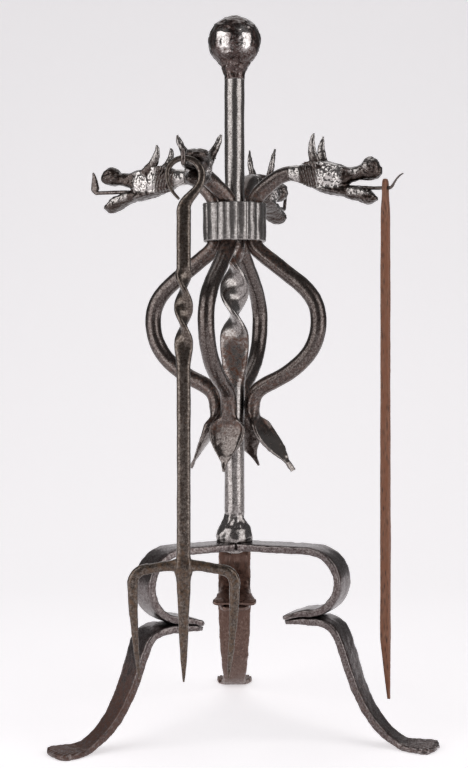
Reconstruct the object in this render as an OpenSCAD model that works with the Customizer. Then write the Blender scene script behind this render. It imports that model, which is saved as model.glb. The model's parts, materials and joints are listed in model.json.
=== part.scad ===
// Hearth stand of forged iron: a tripod base, a twisted centre shaft with a ball on top,
// and four round bars that bulge out as a cage, run through a fluted collar and end in
// horned animal heads. A fork hangs on the front head's tongue, a skewer on the right one's.
// Millimetres, +Z up. The shaft stands at axis_at; the origin is the middle of the floor area.

/* [Shaft] */
// Diameter of the round centre shaft
shaft_d = 20; // [16:1:26]
// Height of the shaft's shoulder, where the ball sits
shaft_top_z = 649; // [600:1:720]
// Top of the leg strips at the hub
hub_z = 188; // [160:1:220]
// Height of the bell at the foot of the shaft
bell_h = 26; // [18:1:36]
// Diameter of the bell where it rests on the legs
bell_d = 37; // [32:1:44]
// Diameter of the tenon that holds the three legs
hub_tenon_d = 16; // [10:1:18]
// Width of the twisted blade
twist_w = 29; // [22:1:32]
// Thickness of the twisted blade
twist_t = 9; // [6:1:12]
// Lower end of the twist
twist_low_z = 345; // [335:1:370]
// Turn of the blade from end to end
twist_turn = 330; // [180:10:540]

/* [Ball] */
// Diameter of the hammered ball
ball_d = 53; // [40:1:64]
// Height of the ball's centre over the shaft's shoulder
ball_rise = 38; // [32:1:46]
// Diameter of the ball's tenon
ball_tenon_d = 12; // [8:1:14]

/* [Cage bars] */
// Diameter of the round bars
bar_d = 16; // [12:1:18]
// Distance from the shaft's axis to a bar's axis inside the collar
bar_seat_r = 20.5; // [18.4:0.1:23]
// Distance from the shaft's axis to a bar's axis at the widest place
bulge_r = 87; // [70:1:105]
// Height of the widest place
bulge_z = 408; // [400:1:416]
// Height at which the bars come back to the shaft
waist_z = 322; // [316:1:326]
// Height of the leaf points
leaf_tip_z = 260; // [250:1:275]
// Width of the leaves
leaf_w = 33; // [24:1:34]
// Compass directions of the bars: right, front, left, back
arm_azimuth = [342, 252, 162, 72]; // [0:1:360]
// Reach of the four leaf points
leaf_reach = [61, 34, 46, 56]; // [30:1:66]
// Sideways bend of the leaf points
leaf_side = [0, 0, 0, -8]; // [-10:1:10]
// Turn of the leaves about their own length
leaf_turn = [12, 0, 0, 0]; // [-20:1:20]

/* [Collar] */
// Lower edge of the collar
collar_z = 487; // [480:1:498]
// Height of the collar
collar_h = 38; // [30:1:46]
// Thickness of the collar's sheet at the flutes' valleys
collar_t = 2.6; // [2:0.1:4]
// Height of the flutes
flute_h = 1.8; // [0.8:0.1:3]
// Number of flutes
flute_n = 14; // [8:1:20]

/* [Heads] */
// Height of the neck's end, where the heads begin
neck_z = 553.5; // [545:0.5:565]
// Diameter of the neck's end
neck_d = 15; // [12:0.5:17]
// Distance from the shaft's axis to the necks' ends
neck_reach = [58, 58, 51, 58]; // [48:1:66]
// Sideways step of the necks
neck_side = [0, -16, 0, 0]; // [-20:1:20]
// Turn of the heads in plan
head_turn = [0, 17, 0, -3]; // [-20:1:20]
// Upward tilt of the heads
head_lift = [0, 5.5, 2, -3]; // [-5:0.5:8]
// Distance from a neck's end to its tongue's hanging place
hang_reach = [95.7, 98, 94.5, 96]; // [94:0.1:100]
// Diameter of the tongues
tongue_d = [3.6, 4.4, 4, 4]; // [3:0.1:5]
// Sideways bend of the tongues
tongue_side = [0, -11, 0, 0]; // [-12:1:12]
// Height of the tongues at their hanging place
tongue_z = [536.2, 547.3, 540.5, 533]; // [525:0.1:552]
// Length of the tongues beyond their hanging place
hook_reach = [17.5, 11.5, 8, 13]; // [7:0.5:20]
// Level length of the tongues beyond the middle of what hangs there
hook_level = [3.6, 5.6, 3, 4.5]; // [3:0.1:6]
// Rise of the tongues' ends
hook_rise = [13.5, 12, 21, 14]; // [8:0.5:24]
// Height of the horns' tips over the neck's end
horn_rise = [37, 27, 31, 38]; // [22:1:42]
// Distance of the horns' tips from the middle of the head
horn_splay = [13, 21, 13, 14.5]; // [10:0.5:24]
// Backward lean of the horns
horn_lean = [2, 0, 11, 1]; // [0:1:14]

/* [Legs] */
// Width of the leg strips
strip_w = 34; // [26:1:36]
// Thickness of the leg strips
strip_t = 8; // [6:1:10]
// Compass directions of the legs: back, left, right
leg_azimuth = [90, 211.5, 337]; // [0:0.5:360]
// Reach of the upper scrolls
scroll_reach = [112, 105.5, 117.5]; // [98:0.5:130]
// Reach of the lower legs where they turn down
knee_reach = [109, 106, 116]; // [94:1:126]
// Reach of the feet
foot_reach = [225, 200, 208]; // [190:1:240]
// Radius of the scrolls
scroll_r = [31, 33.3, 30]; // [27:0.1:35]
// Width of the scrolls' spread ends
scroll_tip_w = [46, 34, 40]; // [30:1:48]
// Width of the spread feet
foot_w = 41; // [32:1:48]
// Thickness of the feet
foot_t = 6.4; // [5:0.2:8]

/* [Fork] */
// Radius of the hook's middle line
hook_r = 15.5; // [13:0.5:18]
// Length from the tongue to the tips of the prongs
fork_l = 467; // [400:1:500]
// Width of the fork's shaft below the hook
fork_w = 13; // [10:1:15]
// Width of the fork's twisted stretch
fork_twist_w = 16.3; // [13:0.1:18]
// Thickness of the fork's shaft
fork_t = 9; // [7:0.5:11]
// Width of the fork's plain stretch and middle prong
fork_bar = 12.5; // [9:0.5:13]
// Distance between the outer prongs
prong_spread = 92; // [76:1:110]
// Height of the crossbar's middle over the tips
prong_l = 105; // [80:1:120]
// Drop of the crossbar from its middle to its corners
prong_drop = 3.5; // [0:0.5:6]
// Thickness of the outer prongs
prong_t = 9; // [7:0.5:11]

/* [Skewer] */
// Length of the skewer
skewer_l = 503; // [440:1:508]
// Width of the square bar
skewer_bar = 9.5; // [8:0.5:12]
// Thickness of the flat end with the eye
skewer_eye_t = 4.5; // [3:0.5:5]
// Diameter of the eye
skewer_eye_d = 10; // [8:0.5:10]
// Length of the point
skewer_point_l = 56; // [30:1:90]

/* [Fits] */
// Gap between pieces that touch
gap = 0.3; // [0.2:0.05:0.5]

/* [Hidden] */
side_names = ["right", "front", "left", "back"];
leg_names = ["back", "left", "right"];
RIGHT = 0;
FRONT = 1;
LEFT = 2;
iron = "#4a4440";
worn_iron = "#6a635e";
rusty_iron = "#6b4230";
$fn = 48;

// ---- curves and sections ----

function lerp(a, b, t) = a + (b - a) * t;
function unit(v) = v / norm(v);
function flat(r, z) = [r, 0, z];

// A point of a curve with four guide points, and its direction there
function bend(p, t) = p[0] * (1 - t) ^ 3 + 3 * p[1] * t * (1 - t) ^ 2 + 3 * p[2] * t ^ 2 * (1 - t) + p[3] * t ^ 3;
function heading(p, t) = unit(
    (p[1] - p[0]) * (1 - t) ^ 2 + 2 * (p[2] - p[1]) * t * (1 - t) + (p[3] - p[2]) * t ^ 2
);

// Places and directions at n even steps along a curve, without its last point
function along(p, n) = [for (k = [0:n - 1]) [bend(p, k / n), heading(p, k / n)]];

// Outlines of a section: half sizes a and b, both seen along the way of the sweep
function oval(a, b, n = 12, power = 2) = [
    for (k = [0:n - 1])
        let (c = cos(360 * k / n), s = sin(360 * k / n))
            [a * sign(c) * abs(c) ^ (2 / power), b * sign(s) * abs(s) ^ (2 / power)]
];
function bevelled(a, b, edge) = [
    [a, b - edge], [a - edge, b], [edge - a, b], [-a, b - edge],
    [-a, edge - b], [edge - a, -b], [a - edge, -b], [a, edge - b]
];
function turned(outline, angle) = [
    for (p = outline) [p.x * cos(angle) - p.y * sin(angle), p.x * sin(angle) + p.y * cos(angle)]
];

// A section set square to the way at a place; its x runs along the side direction
function ring(place, way, side, outline) =
    let (s = unit(side - way * (side * way)), up = cross(way, s))
        [for (p = outline) place + s * p.x + up * p.y];

// A closed solid through rings that all have the same number of points
module skin(rings) {
    n = len(rings[0]);
    last = (len(rings) - 1) * n;
    walls = [
        for (i = [0:len(rings) - 2], j = [0:n - 1])
            let (a = i * n + j, b = i * n + (j + 1) % n)
                each [[a, a + n, b + n], [a, b + n, b]]
    ];
    start = [for (j = [0:n - 1]) j];
    finish = [for (j = [0:n - 1]) last + n - 1 - j];
    polyhedron([for (r = rings) each r], concat([start], walls, [finish]));
}

// ---- places shared by several pieces ----

shaft_r = shaft_d / 2;
bar_r = bar_d / 2;
waist_r = shaft_r + bar_r + gap;
collar_top_z = collar_z + collar_h;
collar_bore_r = bar_seat_r + bar_r + gap;
strip_mid_z = hub_z - strip_t / 2;

function turn_plan(p, angle) = [
    p.x * cos(angle) - p.y * sin(angle), p.x * sin(angle) + p.y * cos(angle), p.z
];
function neck_end(i) = [neck_reach[i], neck_side[i], neck_z];

// Where a tool hangs on a tongue, in the frame of the whole stand with the shaft at 0,0
function hang_place(i) = turn_plan(
    [neck_reach[i], neck_side[i], 0] + turn_plan([hang_reach[i], tongue_side[i], tongue_z[i]], head_turn[i]),
    arm_azimuth[i]
);
function hang_way(i) = arm_azimuth[i] + head_turn[i];

// The feet and the front tongue set the floor area; its middle is the origin
function foot_corners(i) = [
    for (back = [0, 4, 10], side = [-1, 1])
        turn_plan([foot_reach[i] - back, side * foot_half_w(back), 0], leg_azimuth[i])
];
function foot_half_w(back) = foot_w / 2 * lookup(back, [[0, 0.45], [4, 0.88], [10, 1], [22, 0.88], [36, 0.6]]);
corners = [for (i = [0:2]) each foot_corners(i)];
front_tip_y = hang_place(FRONT).y + hook_reach[FRONT] * sin(hang_way(FRONT)) - tongue_d[FRONT] / 4;
axis_at = [
    -(max([for (c = corners) c.x]) + min([for (c = corners) c.x])) / 2,
    -(max([for (c = corners) c.y]) + min(front_tip_y, min([for (c = corners) c.y]))) / 2,
    0
];

module at_shaft() {
    translate(axis_at) children();
}

module at_arm(i) {
    at_shaft() rotate(arm_azimuth[i]) children();
}

module at_head(i) {
    at_arm(i) translate(neck_end(i)) rotate(head_turn[i]) rotate([0, -head_lift[i], 0]) children();
}

module at_leg(i) {
    at_shaft() rotate(leg_azimuth[i]) children();
}

// ---- centre shaft, ball and collar ----

twist_top_z = collar_z - 8;
twist_flat = 46;
rivet_h = 3;
rivet_r = 11;
ball_tenon_h = ball_rise - 13;

// How far the bell swells at each part of its height, from the legs up
bell_swell = [[0, 0.97], [0.2, 1], [0.38, 0.94], [0.54, 0.7], [0.7, 0.38], [0.85, 0.12], [1, 0]];

// The blade's half width and half thickness grow out of the round bar and back into it.
// Seen from any side, its edges run down from upper left to lower right.
module twisted_blade() {
    steps = 22;
    sunk = 1.5;
    stub = shaft_r * 0.85;
    low = twist_low_z - sunk;
    high = twist_top_z + sunk;
    skin([
        for (k = [0:steps])
            let (
                t = k / steps,
                z = lerp(low, high, t),
                a = lookup(t, [[0, stub], [0.1, twist_w * 0.4], [0.28, twist_w / 2],
                               [0.86, twist_w / 2], [0.95, twist_w * 0.4], [1, stub]]),
                b = lookup(t, [[0, stub], [0.1, twist_t * 0.72], [0.28, twist_t / 2],
                               [0.86, twist_t / 2], [0.95, twist_t * 0.7], [1, stub]]),
                angle = -twist_turn * max(0, (z - low - twist_flat) / (high - low - twist_flat))
            )
            ring([0, 0, z], [0, 0, 1], [1, 0, 0], turned(oval(a, b, 14, 2.4), angle))
    ]);
}

// Round below the twist, swollen to a bell on the legs, with the tenon riveted under them
module shaft_foot() {
    tenon_r = hub_tenon_d / 2;
    under_z = hub_z - strip_t;
    rotate_extrude()
        polygon(concat(
            [[0, under_z - rivet_h], [rivet_r * 0.6, under_z - rivet_h], [rivet_r, under_z - rivet_h * 0.4],
             [rivet_r, under_z], [tenon_r, under_z], [tenon_r, hub_z]],
            [for (b = bell_swell) [lerp(shaft_r, bell_d / 2, b[1]), hub_z + bell_h * b[0]]],
            [[shaft_r, twist_low_z], [0, twist_low_z]]
        ));
}

module centre_shaft() {
    color(iron) at_shaft() {
        shaft_foot();
        twisted_blade();
        translate([0, 0, twist_top_z]) cylinder(d = shaft_d, h = shaft_top_z - twist_top_z);
        translate([0, 0, shaft_top_z - 1]) cylinder(d = ball_tenon_d, h = ball_tenon_h + 1);
    }
}

// The ball's neck flares like a trumpet, from the shaft out to the ball
module ball_finial() {
    neck_sunk = 5;
    neck_flare = 7;
    neck_h = ball_rise - ball_d / 2 + neck_sunk;
    flare = [[0, 0], [0.25, 0.08], [0.5, 0.26], [0.75, 0.56], [1, 1]];
    color(iron) at_shaft() translate([0, 0, shaft_top_z])
        difference() {
            union() {
                translate([0, 0, ball_rise]) sphere(d = ball_d);
                rotate_extrude()
                    polygon(concat(
                        [[0, 0]],
                        [for (f = flare) [shaft_r + neck_flare * f[1], neck_h * f[0]]],
                        [[shaft_r, neck_h + neck_sunk], [0, neck_h + neck_sunk]]
                    ));
            }
            translate([0, 0, -1]) cylinder(r = ball_tenon_d / 2 + gap / 2, h = ball_tenon_h + 1 + gap);
        }
}

// A sheet band, hammered into upright flutes round the four bars
module collar() {
    steps = flute_n * 6;
    valley_r = collar_bore_r + collar_t;
    outline = [
        for (k = [0:steps - 1])
            let (angle = 360 * k / steps, r = valley_r + flute_h * (0.5 - 0.5 * cos(flute_n * angle)))
                [r * cos(angle), r * sin(angle)]
    ];
    color(worn_iron) at_shaft() translate([0, 0, collar_z])
        difference() {
            linear_extrude(collar_h) polygon(outline);
            translate([0, 0, -1]) cylinder(r = collar_bore_r, h = collar_h + 2);
        }
}

// ---- the four bars, each with its leaf ----

function above(out, down) = flat(lerp(bar_seat_r, bulge_r, out), lerp(collar_z, bulge_z, down));
function below(out, up) = flat(lerp(waist_r, bulge_r, out), lerp(waist_z, bulge_z, up));
function leaf_curve(i) = [
    [leaf_reach[i], leaf_side[i], leaf_tip_z],
    flat(lerp(leaf_reach[i], waist_r, 0.35), lerp(leaf_tip_z, waist_z, 0.37)),
    flat(waist_r, waist_z - 18),
    flat(waist_r, waist_z)
];
function head_way(i) = [
    cos(head_turn[i]) * cos(head_lift[i]), sin(head_turn[i]) * cos(head_lift[i]), sin(head_lift[i])
];
function neck_curve(i) = [
    flat(bar_seat_r, collar_top_z + 1),
    flat(bar_seat_r, collar_top_z + 7),
    neck_end(i) - 14 * head_way(i),
    neck_end(i)
];
out_of_waist = [below(0, 0), below(0, 0.23), below(0.2, 0.24), below(0.46, 0.36)];
into_bulge = [below(0.46, 0.36), below(0.78, 0.51), below(1, 0.7), below(1, 1)];
over_bulge = [above(1, 1), above(1, 0.75), above(0.835, 0.61), above(0.594, 0.457)];
into_collar = [above(0.233, 0.222), above(0.14, 0.161), above(0, 0.09), above(0, 0)];

// A leaf is heart-shaped with a drawn-out point; half width and half thickness from its tip to the bar
leaf_half_w = [
    [0, 0.05], [0.12, 0.14], [0.21, 0.3], [0.34, 0.58], [0.45, 0.85],
    [0.55, 1], [0.66, 0.97], [0.74, 0.74], [0.82, 0.52], [1, 0.485]
];
leaf_half_t = [[0, 1.2], [0.55, 2.2], [0.8, 4], [1, 8]];

module arm(i) {
    leaf_steps = 12;
    neck_steps = 6;
    leaf = [
        for (k = [0:leaf_steps - 1])
            let (
                t = k / leaf_steps,
                p = leaf_curve(i),
                a = lookup(t, leaf_half_w) * leaf_w / 2,
                b = lookup(t, leaf_half_t) * bar_r / 8
            )
            [bend(p, t), heading(p, t), turned(oval(a, b), leaf_turn[i] * (1 - t))]
    ];
    round_bar = oval(bar_r, bar_r);
    cage = [
        for (p = [out_of_waist, into_bulge, over_bulge], q = along(p, 5)) [q[0], q[1], round_bar],
        [over_bulge[3], heading(over_bulge, 1), round_bar],
        for (q = along(into_collar, 4)) [q[0], q[1], round_bar],
        [into_collar[3], [0, 0, 1], round_bar]
    ];
    neck = [
        for (k = [0:neck_steps])
            let (t = k / neck_steps, p = neck_curve(i), r = lerp(bar_r, neck_d / 2, t))
                [bend(p, t), heading(p, t), oval(r, r)]
    ];
    color(iron) at_arm(i)
        skin([for (s = concat(leaf, cage, neck)) ring(s[0], s[1], [0, 1, 0], s[2])]);
}

// ---- the heads, lofted along their length and split for the mouth ----

// Distance from the neck's end, then the height of the top, of the underside, and half the width
head_sections = [
    [0, 7.5, -7.5, 7.5], [8, 7.8, -9, 8.2], [17, 8.6, -12, 10], [25, 10.5, -17, 12.5],
    [34, 9.5, -21, 13.5], [46, 6, -23, 13], [56, 2.6, -25, 11.5], [63, 0.8, -27.5, 10],
    [70, 2, -31.5, 9.8], [75, 7.5, -33.5, 10.5], [80, 11, -33.2, 11], [84, 11, -29.5, 10.2],
    [86.5, 9.6, -22, 9.4], [88, 8, -9, 8.6], [90.5, 3, -7.5, 6], [91.5, 0, -6, 3]
];

module head_blank() {
    skin([
        for (s = head_sections)
            ring([s[0], 0, (s[1] + s[2]) / 2], [1, 0, 0], [0, 1, 0], oval(s[3], (s[1] - s[2]) / 2, 12, 2.3))
    ]);
}

mouth_back = 59;
mouth_mid = -15.2;

module mouth_slit() {
    rotate([90, 0, 0]) linear_extrude(40, center = true)
        polygon([
            [mouth_back, mouth_mid + 3.4], [mouth_back, mouth_mid - 3.2], [70, -18.6],
            [80, -20.5], [86, -27.5], [95, -34], [95, -9], [72, -10.6]
        ]);
}

module head(i) {
    color(iron) at_head(i) difference() {
        head_blank();
        mouth_slit();
    }
}

// A curved blade, from inside the skull to its tip; what is inside the skull is cut away
module horn(i, hand) {
    steps = 6;
    root = [30, hand * 7, 1];
    tip = [30 - horn_lean[i], hand * horn_splay[i], horn_rise[i]];
    middle = [30 - 0.75 * horn_lean[i] - 3, hand * lerp(9, horn_splay[i], 0.6), horn_rise[i] * 0.5];
    guides = [root, lerp(root, middle, 0.7), lerp(tip, middle, 0.8) + [-1, 0, 0], tip];
    skin([
        for (k = [0:steps])
            let (
                t = k / steps,
                a = lookup(t, [[0, 4.6], [0.35, 3.9], [0.7, 3], [0.9, 1.7], [1, 0.7]]),
                b = lookup(t, [[0, 3.4], [0.35, 2.6], [0.7, 2], [0.9, 1.3], [1, 0.7]])
            )
            ring(bend(guides, t), heading(guides, t), [1, 0, 0], oval(a, b, 8))
    ]);
}

module horns(i) {
    color(worn_iron) at_head(i) difference() {
        for (hand = [-1, 1]) horn(i, hand);
        head_blank();
    }
}

// A drawn-out rod in the mouth, level and truly round where a tool hangs, turned up at its end
module tongue(i) {
    lift = head_lift[i];
    out = mouth_back + gap;
    rise = tongue_z[i] - neck_z;
    root = [out * cos(lift) - mouth_mid * sin(lift), 0, out * sin(lift) + mouth_mid * cos(lift)];
    way = [cos(lift), 0, sin(lift)];
    hang = [hang_reach[i], tongue_side[i], rise];
    level = hook_level[i];
    level_in = 7;
    sunk = 1;
    seat_r = tongue_d[i] / 2;
    r = seat_r * 0.95;
    seat_in = hang - [level_in, 0, 0];
    seat_out = hang + [level, 0, 0];
    tip = hang + [hook_reach[i], 0, hook_rise[i]];
    reach = [root, root + 11 * way, seat_in - [12, 0, 0], seat_in];
    hook = [
        seat_out, seat_out + [4, 0, -1],
        hang + [lerp(level, hook_reach[i], 0.35), 0, hook_rise[i] * 0.7], tip
    ];
    inner = [
        for (q = along(reach, 5)) [q[0], q[1], r, r],
        [seat_in + [sunk, 0, 0], [1, 0, 0], r, r]
    ];
    outer = [
        [seat_out - [sunk, 0, 0], [1, 0, 0], r, r],
        for (k = [1:6])
            let (t = k / 6)
                [bend(hook, t), heading(hook, t), lerp(r, i == LEFT ? r * 0.5 : r * 0.8, t), lerp(r, r * 0.5, t)]
    ];
    color(iron) at_arm(i) translate(neck_end(i)) rotate(head_turn[i]) {
        for (part = [inner, outer])
            skin([for (s = part) ring(s[0], s[1], [0, 1, 0], oval(s[2], s[3], 8))]);
        translate(seat_in) rotate([0, 90, 0]) cylinder(r = seat_r, h = level_in + level);
    }
}

// ---- legs: an upper scroll and a lower leg with its foot ----

function strip_ring(place, way, half_w, half_t) =
    ring(place, way, [0, 1, 0], bevelled(half_w, half_t, min(1.2, half_w / 2, half_t / 2)));

// The free angle at the hub between a leg and the next one round
function leg_apart(i) = (leg_azimuth[(i + 1) % 3] - leg_azimuth[i] + 360) % 360;

// What a leg's strip leaves to its two neighbours at the hub, where the three meet in mitres
module beside_mitres(i) {
    reach = 2 * strip_w;
    halves = [leg_apart(i) / 2, leg_apart((i + 2) % 3) / 2];
    for (hand = [0, 1])
        mirror([0, hand, 0]) rotate(halves[hand])
            translate([-reach, -gap / 2, 0]) cube([2 * reach, reach, hub_z + strip_t]);
}

// Distance from the shaft's axis to the middle of a scroll
function scroll_mid(i) = scroll_reach[i] - strip_t / 2 - scroll_r[i];

module leg_scroll(i) {
    r = scroll_r[i];
    mid = scroll_mid(i);
    low_z = strip_mid_z - 2 * r;
    half_w = strip_w / 2;
    half_t = strip_t / 2;
    tip_half_w = scroll_tip_w[i] / 2;
    turn_steps = 9;
    tip_curve = [
        flat(mid, low_z), flat(mid - 7, low_z), flat(mid - 17, low_z - 3.5), flat(mid - 25, low_z - 6)
    ];
    tip_widths = [[0, half_w], [0.8, tip_half_w], [1, tip_half_w - 3]];
    stations = [
        [flat(0, strip_mid_z), [1, 0, 0], half_w, half_t],
        for (k = [0:turn_steps])
            let (angle = 90 - 180 * k / turn_steps)
                [
                    flat(mid + r * cos(angle), low_z + r + r * sin(angle)),
                    [sin(angle), 0, -cos(angle)], half_w, half_t
                ],
        for (k = [1:5])
            let (t = k / 5)
                [bend(tip_curve, t), heading(tip_curve, t), lookup(t, tip_widths), lerp(half_t, 2.4, t)]
    ];
    color(iron) at_leg(i) difference() {
        skin([for (s = stations) strip_ring(s[0], s[1], s[2], s[3])]);
        beside_mitres(i);
        translate([0, 0, hub_z - 2 * strip_t]) cylinder(r = hub_tenon_d / 2 + gap / 2, h = 3 * strip_t);
    }
}

module leg_lower(i) {
    mid = scroll_mid(i);
    knee = knee_reach[i];
    toe = foot_reach[i];
    knee_z = 96;
    under_z = strip_mid_z - 2 * scroll_r[i] - strip_t - gap;
    sole_mid = foot_t / 2 - 0.3;
    from_tip = [
        flat(mid - 25, under_z - 3.1), flat(mid - 17, under_z - 1.1), flat(mid - 8, under_z), flat(mid, under_z)
    ];
    crest = [flat(mid, under_z), flat(mid + 11, under_z), flat(knee - 8, under_z + 4), flat(knee, knee_z)];
    shin = [flat(knee, knee_z), flat(knee + 8, knee_z - 20), flat(toe - 76, 32), flat(toe - 46, 11)];
    ankle = [flat(toe - 46, 11), flat(toe - 38, 6.1), flat(toe - 32, sole_mid), flat(toe - 24, sole_mid)];
    widths = [
        [mid - 25, 11], [mid - 19, 15], [mid + 17, strip_w / 2 + 1],
        [knee, strip_w / 2], [toe - 75, strip_w * 0.42], [toe - 46, strip_w * 0.33],
        for (back = [36, 22, 10, 4, 0]) [toe - back, foot_half_w(back)]
    ];
    thicknesses = [
        [mid - 25, 2.4], [mid - 9, strip_t * 0.44], [mid + 1, strip_t / 2], [toe - 52, strip_t / 2],
        [toe - 34, foot_t / 2], [toe - 4, foot_t / 2], [toe, foot_t * 0.36]
    ];
    stations = [
        for (q = along(from_tip, 4)) q, for (q = along(crest, 5)) q, for (q = along(shin, 7)) q,
        for (q = along(ankle, 3)) q, for (back = [24, 17, 10, 4, 0]) [flat(toe - back, sole_mid), [1, 0, 0]]
    ];
    color(iron) at_leg(i) difference() {
        skin([
            for (s = stations)
                strip_ring(s[0], s[1], lookup(s[0].x, widths), lookup(s[0].x, thicknesses))
        ]);
        translate([toe - 60, -foot_w, -10]) cube([90, 2 * foot_w, 10]);
    }
}

// ---- the fork, in a frame with the hanging place of the tongue at 0,0,0 ----

hook_bore_r = hook_r - 2.7;
hook_mid_z = tongue_d[FRONT] / 2 + gap - hook_bore_r;
prong_z = prong_l - fork_l;

module at_fork() {
    at_shaft() translate(hang_place(FRONT)) rotate(hang_way(FRONT) - 270) children();
}

module fork_shaft() {
    // Half the hook's width at its end, on its crown and above the throat
    end_w = 2.1;
    crown_w = 2.7;
    throat_w = 3.6;
    // The arch is made a little deep, and its inside is then cut to a true round
    spare = 0.3;
    end_r = hook_bore_r + end_w - spare;
    throat_r = hook_bore_r + throat_w - spare;
    hook_end = [
        flat(-end_r * 0.27, hook_mid_z - 21.5), flat(-end_r * 0.68, hook_mid_z - 15.5),
        flat(-end_r, hook_mid_z - 9), flat(-end_r, hook_mid_z)
    ];
    throat = [
        flat(throat_r, hook_mid_z), flat(throat_r, hook_mid_z - 15),
        flat(0, hook_mid_z - 19), flat(0, hook_mid_z - 32)
    ];
    twist_high = hook_mid_z - 84;
    twist_low = hook_mid_z - 152;
    half_w = fork_w / 2;
    half_t = fork_t / 2;
    half_bar = fork_bar / 2;
    down = [0, 0, -1];
    hook = [
        for (k = [0:3])
            let (t = k / 4) [bend(hook_end, t), heading(hook_end, t), lerp(1.4, end_w, t), lerp(2, 3, t), 0],
        for (k = [0:8])
            let (
                angle = 180 - 22.5 * k,
                a = lookup(k, [[0, end_w], [4, crown_w], [8, throat_w]]),
                r = hook_bore_r + a - spare
            )
            [
                flat(r * cos(angle), hook_mid_z + r * sin(angle)), [sin(angle), 0, -cos(angle)],
                a, lookup(k, [[0, 3], [4, 4], [8, 4.2]]), 0
            ],
        for (k = [1:5])
            let (t = k / 5)
                [bend(throat, t), heading(throat, t), lerp(throat_w, half_w, t ^ 2), lerp(4.2, half_t, t), 0]
    ];
    blade = [
        [flat(0, twist_high + 8), down, half_w, half_t, 0],
        for (k = [0:12])
            let (t = k / 12, swell = 1 - max(0, 1 - 2 * t) ^ 6)
                [
                    flat(0, lerp(twist_high, twist_low, t)), down,
                    lerp(lerp(half_w, half_bar, t), fork_twist_w / 2, swell), lerp(half_t, 3.4, swell), -360 * t
                ]
    ];
    prong = [
        [flat(0, twist_low - 12), down, half_bar, half_t, 0], [flat(0, prong_z - 14), down, half_bar, half_t, 0],
        [flat(0, prong_z - 40), down, half_bar * 0.82, half_t * 0.85, 0], [flat(0, -fork_l), down, 1.2, 1.2, 0]
    ];
    // The section's x lies across the bar in the hook's own plane, and its y along the tongue
    color(iron) at_fork() difference() {
        skin([
            for (s = concat(hook, blade, prong))
                ring(s[0], s[1], cross([0, 1, 0], s[1]), turned(bevelled(s[2], s[3], min(1.4, s[2] * 0.5)), s[4]))
        ]);
        translate([0, 0, hook_mid_z]) rotate([90, 0, 0]) cylinder(r = hook_bore_r, h = 3 * fork_t, center = true);
    }
}

// The outer prongs, welded to the flats of the shaft
module side_prong() {
    half_w = prong_spread / 2;
    turn_r = 13;
    turn_z = prong_z - prong_drop - turn_r;
    r = prong_t / 2;
    turn_steps = 5;
    skin([
        for (s = concat(
            [
                [flat(fork_bar / 2 + gap, prong_z), [1, 0, 0], r],
                [flat(half_w * 0.5, prong_z - prong_drop * 0.4), [1, 0, 0], r]
            ],
            [
                for (k = [0:turn_steps])
                    let (angle = 90 - 90 * k / turn_steps)
                        [
                            flat(half_w - turn_r + turn_r * cos(angle), turn_z + turn_r * sin(angle)),
                            [sin(angle), 0, -cos(angle)], r * 1.1
                        ]
            ],
            [
                [flat(half_w - 1, prong_z - 45), [0, 0, -1], r * 0.85],
                [flat(half_w - 6, -fork_l + 2), [0, 0, -1], 1.2]
            ]
        ))
            ring(s[0], s[1], [0, 1, 0], oval(s[2] * 0.9, s[2], 8))
    ]);
}

module fork_side_prongs() {
    color(iron) at_fork() {
        side_prong();
        mirror([1, 0, 0]) side_prong();
    }
}

// ---- the skewer: a square bar, flattened and pierced at the top, pointed at the bottom ----

module skewer() {
    eye_drop = skewer_eye_d / 2 - tongue_d[RIGHT] / 2 - gap;
    top = skewer_eye_d / 2 - eye_drop + 6.5;
    half_bar = skewer_bar / 2;
    half_eye = skewer_eye_t / 2;
    lean = half_bar - 1.5;
    // Height under the top, half size along the tongue and across it, and how far it stands outwards
    sections = [
        [0, half_eye * 0.8, 3.4, 0], [2, half_eye, 6, 0], [7, half_eye, 8, 0], [16, half_eye, 8, 0],
        [28, half_eye * 1.6, 6, 0], [38, half_bar * 0.9, half_bar * 0.9, 0],
        [skewer_l - skewer_point_l, half_bar, half_bar, 0], [skewer_l, 1.5, 1.5, lean]
    ];
    color(rusty_iron) at_shaft() translate(hang_place(RIGHT)) rotate(hang_way(RIGHT))
        difference() {
            skin([
                for (s = sections)
                    ring([s[3], 0, top - s[0]], [0, 0, -1], [1, 0, 0], bevelled(s[1], s[2], min(0.8, s[1] * 0.4)))
            ]);
            translate([0, 0, -eye_drop]) rotate([0, 90, 0])
                cylinder(d = skewer_eye_d, h = 4 * skewer_eye_t, center = true);
        }
}

// ---- pieces ----

centre_shaft();
ball_finial();
collar();
for (i = [0:3]) {
    arm(i);
    head(i);
    horns(i);
    tongue(i);
}
for (i = [0:2]) {
    leg_scroll(i);
    leg_lower(i);
}
fork_shaft();
fork_side_prongs();
skewer();
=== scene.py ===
# %% [markdown]
# # A hearth stand of forged iron
#
# The object is a tripod with a centre shaft, four bowed bars that end in horned heads, a ball on top, and
# a fork and a skewer that hang from two of the heads' tongues. Its construction is already settled in a
# imported model, and this script gives it its looks: meshes with the marks of the hammer, and iron that is
# dark in the hollows and bright where hands have rubbed it, with painted highlights on the ball and the
# leaves.
#
# The imported model is loaded first. Its parts never move, and every new piece stands for one of them.

# %% Load the imported model
import json
import math
import random

import bpy
import numpy as np
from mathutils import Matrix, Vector, noise
from mathutils.kdtree import KDTree


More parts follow.
